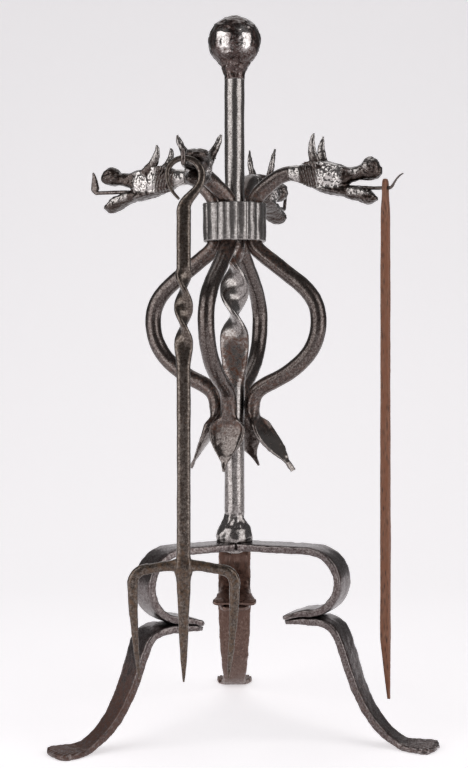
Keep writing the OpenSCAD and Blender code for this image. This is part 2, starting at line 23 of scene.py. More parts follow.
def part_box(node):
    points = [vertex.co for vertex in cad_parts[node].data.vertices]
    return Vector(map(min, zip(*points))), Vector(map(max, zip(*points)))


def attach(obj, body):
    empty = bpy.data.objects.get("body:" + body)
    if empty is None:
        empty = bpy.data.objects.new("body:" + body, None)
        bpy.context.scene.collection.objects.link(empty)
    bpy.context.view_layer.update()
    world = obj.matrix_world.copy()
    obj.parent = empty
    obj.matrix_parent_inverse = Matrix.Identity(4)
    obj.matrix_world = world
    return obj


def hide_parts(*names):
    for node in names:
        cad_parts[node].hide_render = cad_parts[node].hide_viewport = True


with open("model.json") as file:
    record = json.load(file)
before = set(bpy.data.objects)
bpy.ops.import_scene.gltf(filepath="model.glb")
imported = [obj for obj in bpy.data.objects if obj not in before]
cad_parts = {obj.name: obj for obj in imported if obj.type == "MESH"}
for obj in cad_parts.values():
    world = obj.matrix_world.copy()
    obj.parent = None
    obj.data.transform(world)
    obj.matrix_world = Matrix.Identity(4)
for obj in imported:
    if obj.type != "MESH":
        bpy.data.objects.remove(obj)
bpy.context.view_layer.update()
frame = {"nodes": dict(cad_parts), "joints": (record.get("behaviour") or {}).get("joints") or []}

MM = 0.001

# %% [markdown]
# ## Where things stand
#
# Lengths in this script are millimetres until a mesh is made. The centre shaft's axis is found from the
# packed ball, and each bar's and leg's own directions are compass angles around that axis. A place along a
# bar is easiest to say as a distance out from the shaft and a height, so that is how the curves are given,
# and the bar's angle then turns them into the room.

# %% The shaft's axis, and the directions of bars and legs
ball_low, ball_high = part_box("ball_finial")
AXIS = np.array([(ball_low[0] + ball_high[0]) / 2, (ball_low[1] + ball_high[1]) / 2, 0]) / MM
X, Y, UP = np.eye(3)
SIDES = ["right", "front", "left", "back"]


def by_side(*values):
    """One value for each of the four bars, in the order of SIDES."""
    return dict(zip(SIDES, values))


ARM_AZIMUTH = by_side(342, 252, 162, 72)
LEG_AZIMUTH = {"back": 90, "left": 211.5, "right": 337}
SEEDS = by_side(1, 2, 3, 4)
PIVOTS, PIVOT_WAYS = {}, {}
for joint in frame["joints"]:
    PIVOTS[joint["child"]] = np.array(joint["pos_m"]) / MM
    PIVOT_WAYS[joint["child"]] = math.degrees(math.atan2(joint["axis"][1], joint["axis"][0]))
print("the shaft stands at", AXIS.round(2), "mm")
print("the tools hang at", {tool: spot.round(1) for tool, spot in PIVOTS.items()}, "mm")


# %% Small helpers for vectors and curves
def unit(v):
    return v / np.linalg.norm(v)


def out(r, z):
    """A place r out from the axis at height z, before its bar's angle turns it."""
    return np.array([r, 0.0, z])


def turned(points, azimuth):
    """Points turned about the vertical by an angle in degrees."""
    a = math.radians(azimuth)
    c, s = math.cos(a), math.sin(a)
    p = np.asarray(points, float)
    return np.stack([p[..., 0] * c - p[..., 1] * s, p[..., 0] * s + p[..., 1] * c, p[..., 2]], -1)


def bend(p, t):
    """A point of a curve with four guide points."""
    return p[0] * (1 - t) ** 3 + 3 * p[1] * t * (1 - t) ** 2 + 3 * p[2] * t * t * (1 - t) + p[3] * t**3


def heading(p, t):
    return unit((p[1] - p[0]) * (1 - t) ** 2 + 2 * (p[2] - p[1]) * t * (1 - t) + (p[3] - p[2]) * t * t)


def along(p, n, first=True, last=False):
    """(share of the way, place, direction) at n even steps along a curve, with or without its end points."""
    return [(k / n, bend(p, k / n), heading(p, k / n)) for k in range(not first, n + last)]


def arc(middle, r, degrees):
    """The place at an angle on a circle in a bar's plane, and the direction in which the angle falls."""
    c, s = math.cos(math.radians(degrees)), math.sin(math.radians(degrees))
    return middle + out(r * c, r * s), np.array([s, 0, -c])


def table(x, pairs, spread=0.0):
    """A value read from (x, value) pairs, with straight lines between them, rounded off over spread."""
    xs, ys = [a for a, _ in pairs], [b for _, b in pairs]
    return float(np.mean([np.interp(x + spread * k, xs, ys) for k in (-1, -0.5, 0, 0.5, 1)]))


def fade(value, low, high):
    """0 up to low, 1 from high on, and a smooth step between them."""
    t = np.clip((value - low) / (high - low), 0, 1)
    return t * t * (3 - 2 * t)


# %% [markdown]
# ## Sweeping a section
#
# Nearly all smith's work is a bar that changes its section as it goes: round, then flat, then pointed. So
# one helper carries a section along a list of stations and skins it with quads. Each station has a place,
# a direction, a side direction for the section's own x, and the section itself. The ends are closed with
# a small fan.


# %% Sections and the sweep
DENSE = 1440


def oval(a, b, n, power=2.0):
    """n points round an ellipse with half widths a and b: a higher power makes it squarer."""
    k = np.arange(n) * 2 * np.pi / n
    c, s = np.cos(k), np.sin(k)
    return np.stack([a * np.sign(c) * abs(c) ** (2 / power), b * np.sign(s) * abs(s) ** (2 / power)], -1)


def disc(r, n):
    return oval(r, r, n)


def slab(a, b, n, power=7.0):
    """A rounded rectangle with its points evenly spaced, so that flat faces have enough of them."""
    dense = oval(a, b, DENSE, power)
    step = np.linalg.norm(np.roll(dense, -1, 0) - dense, axis=1)
    place = np.concatenate([[0], np.cumsum(step)])
    closed = np.vstack([dense, dense[:1]])
    at = np.linspace(0, place[-1], n, endpoint=False)
    return np.stack([np.interp(at, place, closed[:, k]) for k in (0, 1)], -1)


def spun(section, degrees):
    """A section turned about the bar's own line."""
    a = math.radians(degrees)
    turn = np.array([[math.cos(a), math.sin(a)], [-math.sin(a), math.cos(a)]])
    return section @ turn


def sweep(stations):
    """Rings of points, one ring for each station (place, way, side, section)."""
    rings = []
    for place, way, side, section in stations:
        s = unit(side - way * np.dot(side, way))
        up = np.cross(way, s)
        rings.append(place + section[:, :1] * s + section[:, 1:] * up)
    return np.array(rings)


def skin(rings, closed_ends=True):
    """Vertices and faces for rings of points that all have the same count."""
    m, n = rings.shape[:2]
    verts = rings.reshape(-1, 3)
    faces = []
    for i in range(m - 1):
        for j in range(n):
            a, b = i * n + j, i * n + (j + 1) % n
            faces.append((a, b, b + n, a + n))
    if closed_ends:
        verts = np.vstack([verts, rings[0].mean(0), rings[-1].mean(0)])
        first, last = m * n, m * n + 1
        for j in range(n):
            faces.append((first, (j + 1) % n, j))
            faces.append((last, (m - 1) * n + j, (m - 1) * n + (j + 1) % n))
    return verts, faces


def joined(parts):
    """Several (vertices, faces) as one."""
    verts, faces, base = [], [], 0
    for v, f in parts:
        verts.append(v)
        faces += [tuple(base + k for k in face) for face in f]
        base += len(v)
    return np.vstack(verts), faces


# %% [markdown]
# ## Marks of the hammer
#
# Forged iron is never quite round or flat. These marks are made in the mesh itself, so that they show in
# the outline too. A soft, uneven swell comes from layered noise, moved along the surface's normal. On the
# ball and the bell each blow leaves a flat, so there the points near a blow are pressed onto one plane.
# Chisel cuts, punch dents and raised ridges are strokes: a point moves in or out by how near it lies to a
# line. The finest grain is left to the materials.


# %% New meshes and objects
def new_mesh(name, verts, faces):
    mesh = bpy.data.meshes.new(name)
    mesh.from_pydata(np.asarray(verts, float).tolist(), [], faces)
    mesh.update()
    return mesh


def new_object(name, data):
    thing = bpy.data.objects.new(name, data)
    bpy.context.scene.collection.objects.link(thing)
    return thing


def reshaped(thing):
    """Points and faces of an object after its modifiers. The object and its mesh are then thrown away."""
    found = thing.evaluated_get(bpy.context.evaluated_depsgraph_get()).to_mesh()
    points = np.empty(len(found.vertices) * 3, np.float32)
    found.vertices.foreach_get("co", points)
    polygons = [tuple(p.vertices) for p in found.polygons]
    discard(thing)
    return points.reshape(-1, 3).astype(float), polygons


def discard(thing):
    mesh = thing.data
    bpy.data.objects.remove(thing)
    bpy.data.meshes.remove(mesh)


# %% Uneven surfaces and flats
NOISE_FALL, NOISE_STEP = 0.9, 2.1
SEED_SHIFT = (17.3, 5.1, 9.7)


def normals_of(verts, faces):
    mesh = new_mesh("scratch", verts, faces)
    found = np.empty(len(verts) * 3, np.float32)
    mesh.vertices.foreach_get("normal", found)
    bpy.data.meshes.remove(mesh)
    return found.reshape(-1, 3)


def uneven(verts, faces, depth, size, seed, octaves=3, stretch=(1, 1, 1), where=None):
    """Moves points along their normals by layered noise: depth and size in mm."""
    normal = normals_of(verts, faces)
    shift = Vector([seed * step for step in SEED_SHIFT])
    scaled = verts / size * np.array(stretch)
    move = np.array([
        noise.fractal(Vector(p) + shift, NOISE_FALL, NOISE_STEP, octaves, noise_basis="PERLIN_ORIGINAL")
        for p in scaled
    ])
    if where is not None:
        move = move * where
    return verts + normal * (move * depth)[:, None]


def blows(verts, faces, count, depth, seed, keep, where):
    """Presses the points round each of count blows onto a plane. keep is the share that stays above it."""
    draw = random.Random(seed)
    normal = normals_of(verts, faces)
    may = np.flatnonzero(where > 0.5).tolist()
    tree = KDTree(count)
    struck = [may[draw.randrange(len(may))] for _ in range(count)]
    for k, v in enumerate(struck):
        tree.insert(Vector(verts[v]), k)
    tree.balance()
    deep = [depth * draw.uniform(0.3, 1.0) for _ in range(count)]
    moved = verts.copy()
    for i in may:
        p = verts[i]
        _, k, _ = tree.find(Vector(p))
        v = struck[k]
        height = np.dot(p - verts[v], normal[v]) + deep[k]
        if height > 0:
            moved[i] = p - normal[v] * height * (1 - keep)
    return moved


# %% Strokes and dents
def near_stroke(points, a, b, width):
    """1 on the line from a to b, fading out over width; points may be flat or in space."""
    a, b = np.asarray(a, float), np.asarray(b, float)
    ab = b - a
    t = np.clip((points - a) @ ab / max(ab @ ab, 1e-9), 0, 1)
    away = np.linalg.norm(points - (a + t[:, None] * ab), axis=1)
    return np.exp(-((away / width) ** 2))


def pressed(verts, faces, amount):
    """Points moved along their normals by amount, in mm: below zero is inwards."""
    return verts + normals_of(verts, faces) * amount[:, None]


# %% A mesh object from points in millimetres
# The first mark brightens the iron, and on the ball and the leaves it is a painted highlight. The second is
# rust stain.
RUBBED_AND_HIGHLIGHT, STAINED = "rubbed", "stained"


def make_piece(name, verts, faces, material, body="stand", slot="forged_iron", replaces=(), **marks):
    """marks are values for each point, one for shine and one for stain, that the material can read. On the
    ball and the leaves the shine mark is a painted highlight.
    """
    mesh = new_mesh(name, verts * MM, faces)
    mesh.shade_smooth()
    for label, values in marks.items():
        mark = mesh.attributes.new(label, "FLOAT", "POINT")
        mark.data.foreach_set("value", np.asarray(values, np.float32))
    piece = new_object(name, mesh)
    mesh.materials.append(material)
    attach(piece, body)
    if replaces:
        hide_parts(*replaces)
    print(name, len(verts), "points")


# %% [markdown]
# ## Camera, studio and light
#
# The photograph was taken level, from about a metre and a half away, with the horizon a little above the
# middle of the frame. A small lens shift puts it there, so that upright edges stay upright. Two tall soft
# lamps stand in front, left and right, with a dark gap between them: that gap is the dark line down the
# middle of every round bar, and the lamps are the bright bands on either side of it. A third, weaker lamp
# hangs above and behind, and lights the tops.

# %% Camera
PHOTO_W, PHOTO_H = 468, 768
VIEW_DISTANCE = 1500
EYE_Z = 384
HORIZON_PX = 345
AXIS_PX = 234.5
SENSOR = 36
camera_data = bpy.data.cameras.new("camera")
camera_data.sensor_width = SENSOR
camera_data.lens = SENSOR * VIEW_DISTANCE / PHOTO_H
camera_data.shift_x = (PHOTO_W / 2 - AXIS_PX) / PHOTO_H
camera_data.shift_y = (HORIZON_PX - PHOTO_H / 2) / PHOTO_H
camera = new_object("camera", camera_data)
camera.location = (AXIS + np.array([0, -VIEW_DISTANCE, EYE_Z])) * MM
camera.rotation_euler = (math.pi / 2, 0, 0)
bpy.context.scene.camera = camera
bpy.context.scene.view_settings.view_transform = "Standard"
print("lens", round(camera_data.lens, 1), "mm")


# %% Soft lamps
LAMP_AIM_Z = 0.38


def soft_lamp(name, azimuth, distance, height, wide, tall, level):
    """A lamp that faces the stand, in metres and degrees. level is the brightness of its face."""
    data = bpy.data.lights.new(name, "AREA")
    data.shape = "RECTANGLE"
    data.size, data.size_y = wide, tall
    data.energy = level * math.pi * wide * tall
    lamp = new_object(name, data)
    a = math.radians(azimuth)
    lamp.location = spot = Vector((distance * math.sin(a), -distance * math.cos(a), height))
    lamp.rotation_euler = (Vector((0, 0, LAMP_AIM_Z)) - spot).to_track_quat("-Z", "Y").to_euler()
    lamp.visible_camera = False


soft_lamp("lamp_left", azimuth=-54, distance=1.7, height=0.75, wide=1.6, tall=2.0, level=2.1)
soft_lamp("lamp_right", azimuth=56, distance=1.7, height=0.75, wide=1.45, tall=2.0, level=2.1)
soft_lamp("lamp_top", azimuth=180, distance=0.7, height=2.2, wide=1.6, tall=1.6, level=0.9)
print("lamps:", [lamp.name for lamp in bpy.data.lights])


# %% Helpers for nodes
def fill(node, values):
    """Sets a node's inputs by their names."""
    for label, value in values.items():
        node.inputs[label].default_value = value
    return node


def math_node(nodes, links, operation, a, b, clamp=False):
    node = nodes.new("ShaderNodeMath")
    node.operation = operation
    node.use_clamp = clamp
    for k, value in enumerate((a, b)):
        if isinstance(value, (int, float)):
            node.inputs[k].default_value = value
        else:
            links.new(value, node.inputs[k])
    return node.outputs[0]


# %% The paper of the floor and backdrop
PALE = (0.83, 0.81, 0.825)
PAPER_GLOW = 0.64
WORLD_LEVEL = 0.15
world = bpy.data.worlds.new("studio")
bpy.context.scene.world = world
world.use_nodes = True
fill(world.node_tree.nodes["Background"], {"Color": (1.0, 0.99, 1.0, 1), "Strength": WORLD_LEVEL})


def pale_paper():
    """Matt paper that also glows a little for the eye and in reflections, so that it stays pale far off."""
    material = bpy.data.materials.new("pale_paper")
    material.use_nodes = True
    nodes, links = material.node_tree.nodes, material.node_tree.links
    matt = {"Base Color": (*PALE, 1), "Roughness": 0.9, "Specular IOR Level": 0.1}
    shader = fill(nodes["Principled BSDF"], matt)
    ray = nodes.new("ShaderNodeLightPath").outputs
    seen = math_node(nodes, links, "MAXIMUM", ray["Is Camera Ray"], ray["Is Glossy Ray"])
    seen = math_node(nodes, links, "MAXIMUM", seen, ray["Is Transmission Ray"])
    glow = fill(nodes.new("ShaderNodeEmission"), {"Color": (*PALE, 1)})
    links.new(math_node(nodes, links, "MULTIPLY", seen, PAPER_GLOW), glow.inputs["Strength"])
    both = nodes.new("ShaderNodeAddShader")
    links.new(shader.outputs[0], both.inputs[0])
    links.new(glow.outputs[0], both.inputs[1])
    # Seen from behind, the paper lets the eye through, so that the stand can be looked at from the back
    back = nodes.new("ShaderNodeNewGeometry").outputs["Backfacing"]
    through = nodes.new("ShaderNodeMixShader")
    links.new(math_node(nodes, links, "MULTIPLY", ray["Is Camera Ray"], back), through.inputs["Fac"])
    links.new(both.outputs[0], through.inputs[1])
    links.new(nodes.new("ShaderNodeBsdfTransparent").outputs[0], through.inputs[2])
    links.new(through.outputs[0], nodes["Material Output"].inputs["Surface"])
    return material


# %% Floor and backdrop, in metres
FLOOR_REACH = 6.0
BACKDROP_HALF_W = 1.1
NARROWS_FROM_Y, NARROWS_TO_Y = 0.5, 1.8
CURVE_START_Y = 0.8
CURVE_R = 2.2
BACKDROP_TOP = 3.2


def stage_mesh(name, verts, faces):
    mesh = new_mesh(name, verts, faces)
    mesh.shade_smooth()
    mesh.materials.append(pale_paper())
    thing = new_object(name, mesh)


# The floor is wide, and narrows to a backdrop that is only as wide as it must be: in the iron it would
# shine along every edge
profile = [(-FLOOR_REACH, 0.0)] + [(y, 0.0) for y in np.linspace(-1.0, CURVE_START_Y, 8)]
for a in np.linspace(0, math.pi / 2, 40)[1:]:
    profile.append((CURVE_START_Y + CURVE_R * math.sin(a), CURVE_R - CURVE_R * math.cos(a)))
profile.append((CURVE_START_Y + CURVE_R, BACKDROP_TOP))
sheet = []
for y, z in profile:
    half = FLOOR_REACH + (BACKDROP_HALF_W - FLOOR_REACH) * float(fade(y, NARROWS_FROM_Y, NARROWS_TO_Y))
    sheet += [(-half, y, z), (half, y, z)]
stage_mesh("floor", sheet, [(2 * k, 2 * k + 1, 2 * k + 3, 2 * k + 2) for k in range(len(profile) - 1)])
print("floor and backdrop:", len(sheet), "points")

# %% [markdown]
# ## Iron
#
# Waxed iron reflects like metal, but darkly: scale and wax hide most of it, and only the rubbed high
# places are bright, with painted highlights on the ball and the leaves. Three effects are shared by every
# iron here, so each is a node group. The first mottles a dark and a bright tone, the second eats pits, and
# the third puts rust in the hollows and bare metal on the edges. A material then places the groups with its
# own values, and keeps the shader to itself.


# %% Shared node groups
def new_group(name, inputs, outputs):
    """A shader node group with named value or colour sockets: (name, kind, default)."""
    group = bpy.data.node_groups.new(name, "ShaderNodeTree")
    for label, kind, default in inputs:
        socket = group.interface.new_socket(label, in_out="INPUT", socket_type="NodeSocket" + kind)
        socket.default_value = default
    for label, kind in outputs:
        group.interface.new_socket(label, in_out="OUTPUT", socket_type="NodeSocket" + kind)
    return group, group.nodes.new("NodeGroupInput"), group.nodes.new("NodeGroupOutput")


def scaled_place(nodes, links, scale, stretch):
    """Object coordinates times a scale socket and a stretch socket."""
    place = nodes.new("ShaderNodeTexCoord").outputs["Object"]
    mapping = nodes.new("ShaderNodeVectorMath")
    mapping.operation = "MULTIPLY"
    links.new(place, mapping.inputs[0])
    links.new(stretch, mapping.inputs[1])
    size = nodes.new("ShaderNodeVectorMath")
    size.operation = "SCALE"
    links.new(mapping.outputs[0], size.inputs[0])
    links.new(scale, size.inputs["Scale"])
    return size.outputs[0]


def texture(nodes, links, kind, place, **values):
    """A procedural texture at place, with its inputs set by their names."""
    node = fill(nodes.new("ShaderNodeTex" + kind), values)
    links.new(place, node.inputs["Vector"])
    return node


def ramp(nodes, links, value, low, high, to=(0, 1)):
    """Spreads value between low and high over the range to."""
    node = nodes.new("ShaderNodeMapRange")
    fill(node, {"From Min": low, "From Max": high, "To Min": to[0], "To Max": to[1]})
    links.new(value, node.inputs["Value"])
    return node.outputs["Result"]


def mix_colour(nodes, links, mask, a, b):
    node = nodes.new("ShaderNodeMix")
    node.data_type = "RGBA"
    links.new(mask, node.inputs["Factor"])
    for socket, value in ((node.inputs[6], a), (node.inputs[7], b)):
        if isinstance(value, tuple):
            socket.default_value = (*value, 1)
        else:
            links.new(value, socket)
    return node.outputs[2]


# %% Group: the mottle of scale and bright metal
def build_mottle():
    group, start, end = new_group(
        "mottle",
        [("Scale", "Float", 60.0), ("Stretch", "Vector", (1, 1, 1)), ("Dark", "Color", (0.08, 0.07, 0.06, 1)),
         ("Bright", "Color", (0.4, 0.38, 0.36, 1)), ("Brightness", "Float", 0.5)],
        [("Color", "Color"), ("Mask", "Float"), ("Height", "Float")],
    )
    nodes, links = group.nodes, group.links
    place = scaled_place(nodes, links, start.outputs["Scale"], start.outputs["Stretch"])
    coarse = texture(nodes, links, "Noise", place, Detail=6, Roughness=0.62)
    fine = texture(nodes, links, "Noise", place, Scale=21, Detail=4, Roughness=0.7)
    both = math_node(nodes, links, "MULTIPLY", fine.outputs["Fac"], 0.22)
    both = math_node(nodes, links, "ADD", both, coarse.outputs["Fac"])
    level = math_node(nodes, links, "ADD", both, start.outputs["Brightness"])
    mask = ramp(nodes, links, level, 0.81, 1.21)
    colour = mix_colour(nodes, links, mask, start.outputs["Dark"], start.outputs["Bright"])
    links.new(colour, end.inputs["Color"])
    links.new(mask, end.inputs["Mask"])
    links.new(both, end.inputs["Height"])
    return group


# %% Group: pits
def build_pits():
    group, start, end = new_group(
        "pits", [("Scale", "Float", 400.0), ("Stretch", "Vector", (1, 1, 1)), ("Amount", "Float", 0.4)],
        [("Mask", "Float"), ("Height", "Float")]
    )
    nodes, links = group.nodes, group.links
    place = scaled_place(nodes, links, start.outputs["Scale"], start.outputs["Stretch"])
    cell = texture(nodes, links, "Voronoi", place, Scale=1)
    cell.feature = "SMOOTH_F1"
    cell.inputs["Smoothness"].default_value = 0.4
    where = texture(nodes, links, "Noise", place, Scale=0.22, Detail=3)
    hole = ramp(nodes, links, cell.outputs["Distance"], 0.45, 0.1)
    gate = math_node(nodes, links, "ADD", where.outputs["Fac"], start.outputs["Amount"])
    gate = ramp(nodes, links, gate, 0.85, 1.05)
    mask = math_node(nodes, links, "MULTIPLY", hole, gate, clamp=True)
    links.new(mask, end.inputs["Mask"])
    links.new(math_node(nodes, links, "SUBTRACT", 1.0, mask), end.inputs["Height"])
    return group


# %% Group: rust in the hollows, bare metal on the edges
def build_wear():
    group, start, end = new_group(
        "wear", [("Rust", "Float", 0.4), ("Scale", "Float", 45.0), ("Stretch", "Vector", (1, 1, 1))],
        [("Edge", "Float"), ("Rust", "Float")]
    )
    nodes, links = group.nodes, group.links
    shape = nodes.new("ShaderNodeNewGeometry")
    place = scaled_place(nodes, links, start.outputs["Scale"], start.outputs["Stretch"])
    patch = texture(nodes, links, "Noise", place, Detail=7, Roughness=0.7)
    edge = ramp(nodes, links, shape.outputs["Pointiness"], 0.52, 0.58)
    links.new(edge, end.inputs["Edge"])
    hollow = ramp(nodes, links, shape.outputs["Pointiness"], 0.5, 0.44)
    amount = math_node(nodes, links, "ADD", patch.outputs["Fac"], start.outputs["Rust"])
    amount = math_node(nodes, links, "ADD", amount, math_node(nodes, links, "MULTIPLY", hollow, 0.25))
    links.new(ramp(nodes, links, amount, 0.92, 1.12), end.inputs["Rust"])
    return group


MOTTLE, PITS, WEAR = build_mottle(), build_pits(), build_wear()
print("node groups:", [g.name for g in bpy.data.node_groups])


# %% The iron material
BUMP_DEPTH = 0.1


def iron(name, dark, bright, brightness, rust_colour, rust=0.3, pits=0.4, rough=(0.2, 0.34), scale=110.0,
         pit_scale=520.0, bump=0.4, metal=1.0, wax=0.3, stretch=(1, 1, 1), rubbed=0.0, stained=0.0):
    """Waxed iron. Each finish is this recipe with its own values. The last two values say how much the places
    that carry the two marks shine or rust. On the ball and the leaves the shine is a painted highlight."""
    material = bpy.data.materials.new(name)
    material.use_nodes = True
    nodes, links = material.node_tree.nodes, material.node_tree.links
    shader = fill(nodes["Principled BSDF"], {"Coat Weight": wax, "Coat Roughness": 0.12})

    def place(group, **values):
        node = nodes.new("ShaderNodeGroup")
        node.node_tree = group
        return fill(node, values)

    def raised_by(label, share, base, socket):
        """Adds share times a mark of the mesh to the value of a group's socket."""
        mark = nodes.new("ShaderNodeAttribute")
        mark.attribute_name = label
        more = math_node(nodes, links, "MULTIPLY", mark.outputs["Fac"], share)
        links.new(math_node(nodes, links, "ADD", more, base), socket)

    mottle = place(MOTTLE, Scale=scale, Stretch=stretch, Dark=(*dark, 1), Bright=(*bright, 1),
                   Brightness=brightness)
    pit = place(PITS, Scale=pit_scale, Stretch=stretch, Amount=pits)
    wear = place(WEAR, Rust=rust, Scale=scale * 0.45, Stretch=stretch)
    # The shine mark raises the bright share of the mottle. On the ball and the leaves this is a painted
    # highlight.
    if rubbed:
        raised_by(RUBBED_AND_HIGHLIGHT, rubbed, brightness, mottle.inputs["Brightness"])
    if stained:
        raised_by(STAINED, stained, rust, wear.inputs["Rust"])
    colour = mix_colour(nodes, links, wear.outputs["Rust"], mottle.outputs["Color"], rust_colour)
    colour = mix_colour(nodes, links, pit.outputs["Mask"], colour, tuple(c * 0.4 for c in dark))
    edge = math_node(nodes, links, "MULTIPLY", wear.outputs["Edge"], 0.5)
    colour = mix_colour(nodes, links, edge, colour, bright)
    links.new(colour, shader.inputs["Base Color"])
    dull = math_node(nodes, links, "MULTIPLY", wear.outputs["Rust"], 0.7)
    links.new(math_node(nodes, links, "SUBTRACT", metal, dull, clamp=True), shader.inputs["Metallic"])
    clean = ramp(nodes, links, mottle.outputs["Mask"], 0, 1, to=(rough[1], rough[0]))
    rusty = math_node(nodes, links, "MULTIPLY", wear.outputs["Rust"], 0.2)
    links.new(math_node(nodes, links, "ADD", clean, rusty, clamp=True), shader.inputs["Roughness"])
    holes = math_node(nodes, links, "MULTIPLY", pit.outputs["Height"], 0.9)
    height = math_node(nodes, links, "ADD", mottle.outputs["Height"], holes)
    relief = fill(nodes.new("ShaderNodeBump"), {"Strength": bump, "Distance": BUMP_DEPTH * MM})
    links.new(height, relief.inputs["Height"])
    links.new(relief.outputs["Normal"], shader.inputs["Normal"])
    return material


RUST = (0.09, 0.035, 0.018)
bar_iron = iron("bar_iron", (0.055, 0.038, 0.033), (0.25, 0.222, 0.208), 0.28, RUST, rust=0.3,
                rough=(0.19, 0.32), wax=0.4, stained=0.3, rubbed=0.4)
shaft_iron = iron("shaft_iron", (0.1, 0.082, 0.075), (0.37, 0.345, 0.335), 0.44, RUST, rust=0.26,
                  rough=(0.18, 0.32), stained=0.3)
collar_iron = iron("collar_iron", (0.09, 0.075, 0.072), (0.33, 0.31, 0.3), 0.42, RUST, rust=0.24, pits=0.15,
                   rough=(0.27, 0.4), bump=0.3)
ball_iron = iron("ball_iron", (0.04, 0.02, 0.016), (0.5, 0.47, 0.46), 0.16, (0.06, 0.022, 0.014), rust=0.4,
                 rough=(0.12, 0.28), bump=0.5, wax=0.7, rubbed=0.5)
head_iron = iron("head_iron", (0.035, 0.021, 0.016), (0.5, 0.47, 0.455), 0.14, (0.06, 0.026, 0.015),
                 rust=0.36, pits=0.5, rough=(0.15, 0.32), bump=0.6, scale=190.0, pit_scale=700.0, wax=0.5,
                 rubbed=0.54)
strip_iron = iron("strip_iron", (0.07, 0.048, 0.046), (0.29, 0.262, 0.255), 0.3, (0.085, 0.036, 0.024),
                  rust=0.32, rough=(0.24, 0.36), stained=0.26)
fork_iron = iron("fork_iron", (0.055, 0.04, 0.032), (0.26, 0.222, 0.195), 0.28, (0.1, 0.05, 0.022),
                 rust=0.34, rough=(0.2, 0.34), stained=0.26)
brown_iron = iron("brown_iron", (0.09, 0.048, 0.036), (0.22, 0.15, 0.125), 0.34, (0.105, 0.046, 0.03),
                  rust=0.48, stretch=(1, 1, 0.16), wax=0.2)
rusty_iron = iron("rusty_iron", (0.11, 0.045, 0.026), (0.3, 0.15, 0.09), 0.38, (0.21, 0.08, 0.04),
                  rust=0.58, pits=0.5, rough=(0.4, 0.6), scale=150.0, metal=0.5, wax=0.08,
                  stretch=(1, 1, 0.2))
print("irons:", [m.name for m in bpy.data.materials if m.name.endswith("iron")])

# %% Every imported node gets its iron
FINISH = {"ball": ball_iron, "collar": collar_iron, "centre": shaft_iron, "arm": bar_iron, "head": head_iron,
          "horns": head_iron, "tongue": bar_iron, "leg": strip_iron, "fork": fork_iron, "skewer": rusty_iron}
for name, node in frame["nodes"].items():
    finish = FINISH[name.split("_")[0]]
    node.data.materials.clear()
    node.data.materials.append(finish)
print(len(frame["nodes"]), "nodes have their iron")

# %% [markdown]
# ## The centre shaft
#
# The shaft is one bar. At its foot it is swollen to a bell that sits on the legs, and a riveted tenon goes
# through them. Inside the cage it was beaten flat and twisted hot, and above that it is round again. One
# sweep makes all of it: the section goes from a circle to a thick blade and back, and turns as it climbs.

# %% Measures of the shaft
SHAFT_R = 10
SHAFT_RING = 56
SEAM_IN = 1.5
HUB_Z = 188
STRIP_T = 8
SHAFT_TOP_Z = ball_low[2] / MM
BELL_H, BELL_R = 26, 18.5
BELL_SWELL = [(0, 0.93), (0.12, 0.99), (0.25, 1), (0.4, 0.92), (0.54, 0.7), (0.7, 0.38), (0.85, 0.12), (1, 0)]
RIVET_H, RIVET_R = 3, 11
TWIST_LOW, TWIST_HIGH = 343.5, 480.5
TWIST_TURN, TWIST_FLAT = 330, 46
BLADE_HALF_W = [(0, SHAFT_R), (0.1, 11.8), (0.28, 14.6), (0.86, 14.6), (0.95, 11.6), (1, SHAFT_R)]
BLADE_HALF_T = [(0, SHAFT_R), (0.1, 6.8), (0.28, 4.4), (0.86, 4.4), (0.95, 6.5), (1, SHAFT_R)]


# %% The shaft's mesh
def shaft_section(z):
    if z > SHAFT_TOP_Z:
        return disc(SHAFT_R - SEAM_IN, SHAFT_RING)
    if z < HUB_Z:
        return oval(RIVET_R * (1 - 0.4 * (z < HUB_Z - STRIP_T - RIVET_H + 0.5)), RIVET_R, SHAFT_RING)
    if z < HUB_Z + BELL_H:
        swell = table((z - HUB_Z) / BELL_H, BELL_SWELL, 0.04)
        return disc(SHAFT_R + (BELL_R - SHAFT_R) * swell, SHAFT_RING)
    if not TWIST_LOW < z < TWIST_HIGH:
        return disc(SHAFT_R, SHAFT_RING)
    t = (z - TWIST_LOW) / (TWIST_HIGH - TWIST_LOW)
    climbed = (z - TWIST_LOW - TWIST_FLAT) / (TWIST_HIGH - TWIST_LOW - TWIST_FLAT)
    turn = -TWIST_TURN * table(climbed, [(0, 0), (1, 1)], 0.1)
    flatness = fade(t, 0, 0.2) * fade(1 - t, 0, 0.1)
    half_w, half_t = table(t, BLADE_HALF_W, 0.03), table(t, BLADE_HALF_T, 0.03)
    return spun(oval(half_w, half_t, SHAFT_RING, 2 + 1.4 * flatness), turn)


# The last ring is narrower and goes up into the ball, so that no seam shows
heights = [HUB_Z - STRIP_T - RIVET_H, HUB_Z - STRIP_T - 1.2, HUB_Z - STRIP_T, HUB_Z - 0.1, HUB_Z]
heights += list(np.arange(HUB_Z + 1, HUB_Z + BELL_H + 8, 1.0))
heights += list(np.arange(HUB_Z + BELL_H + 8, TWIST_LOW - 2, 2.5))
heights += list(np.arange(TWIST_LOW - 2, TWIST_HIGH + 2, 1.1))
heights += list(np.arange(TWIST_HIGH + 2, SHAFT_TOP_Z - 1, 2.5)) + [SHAFT_TOP_Z, SHAFT_TOP_Z + 2]
verts, faces = skin(sweep([(out(0, z), UP, X, shaft_section(z)) for z in heights]))
bell = fade(verts[:, 2], HUB_Z, HUB_Z + 1.5) * fade(HUB_Z + BELL_H + 6 - verts[:, 2], 0, 6)
verts = blows(verts, faces, 46, 1.1, 5, keep=0.15, where=bell)
verts = uneven(verts, faces, 0.9, 9, 5, where=bell)
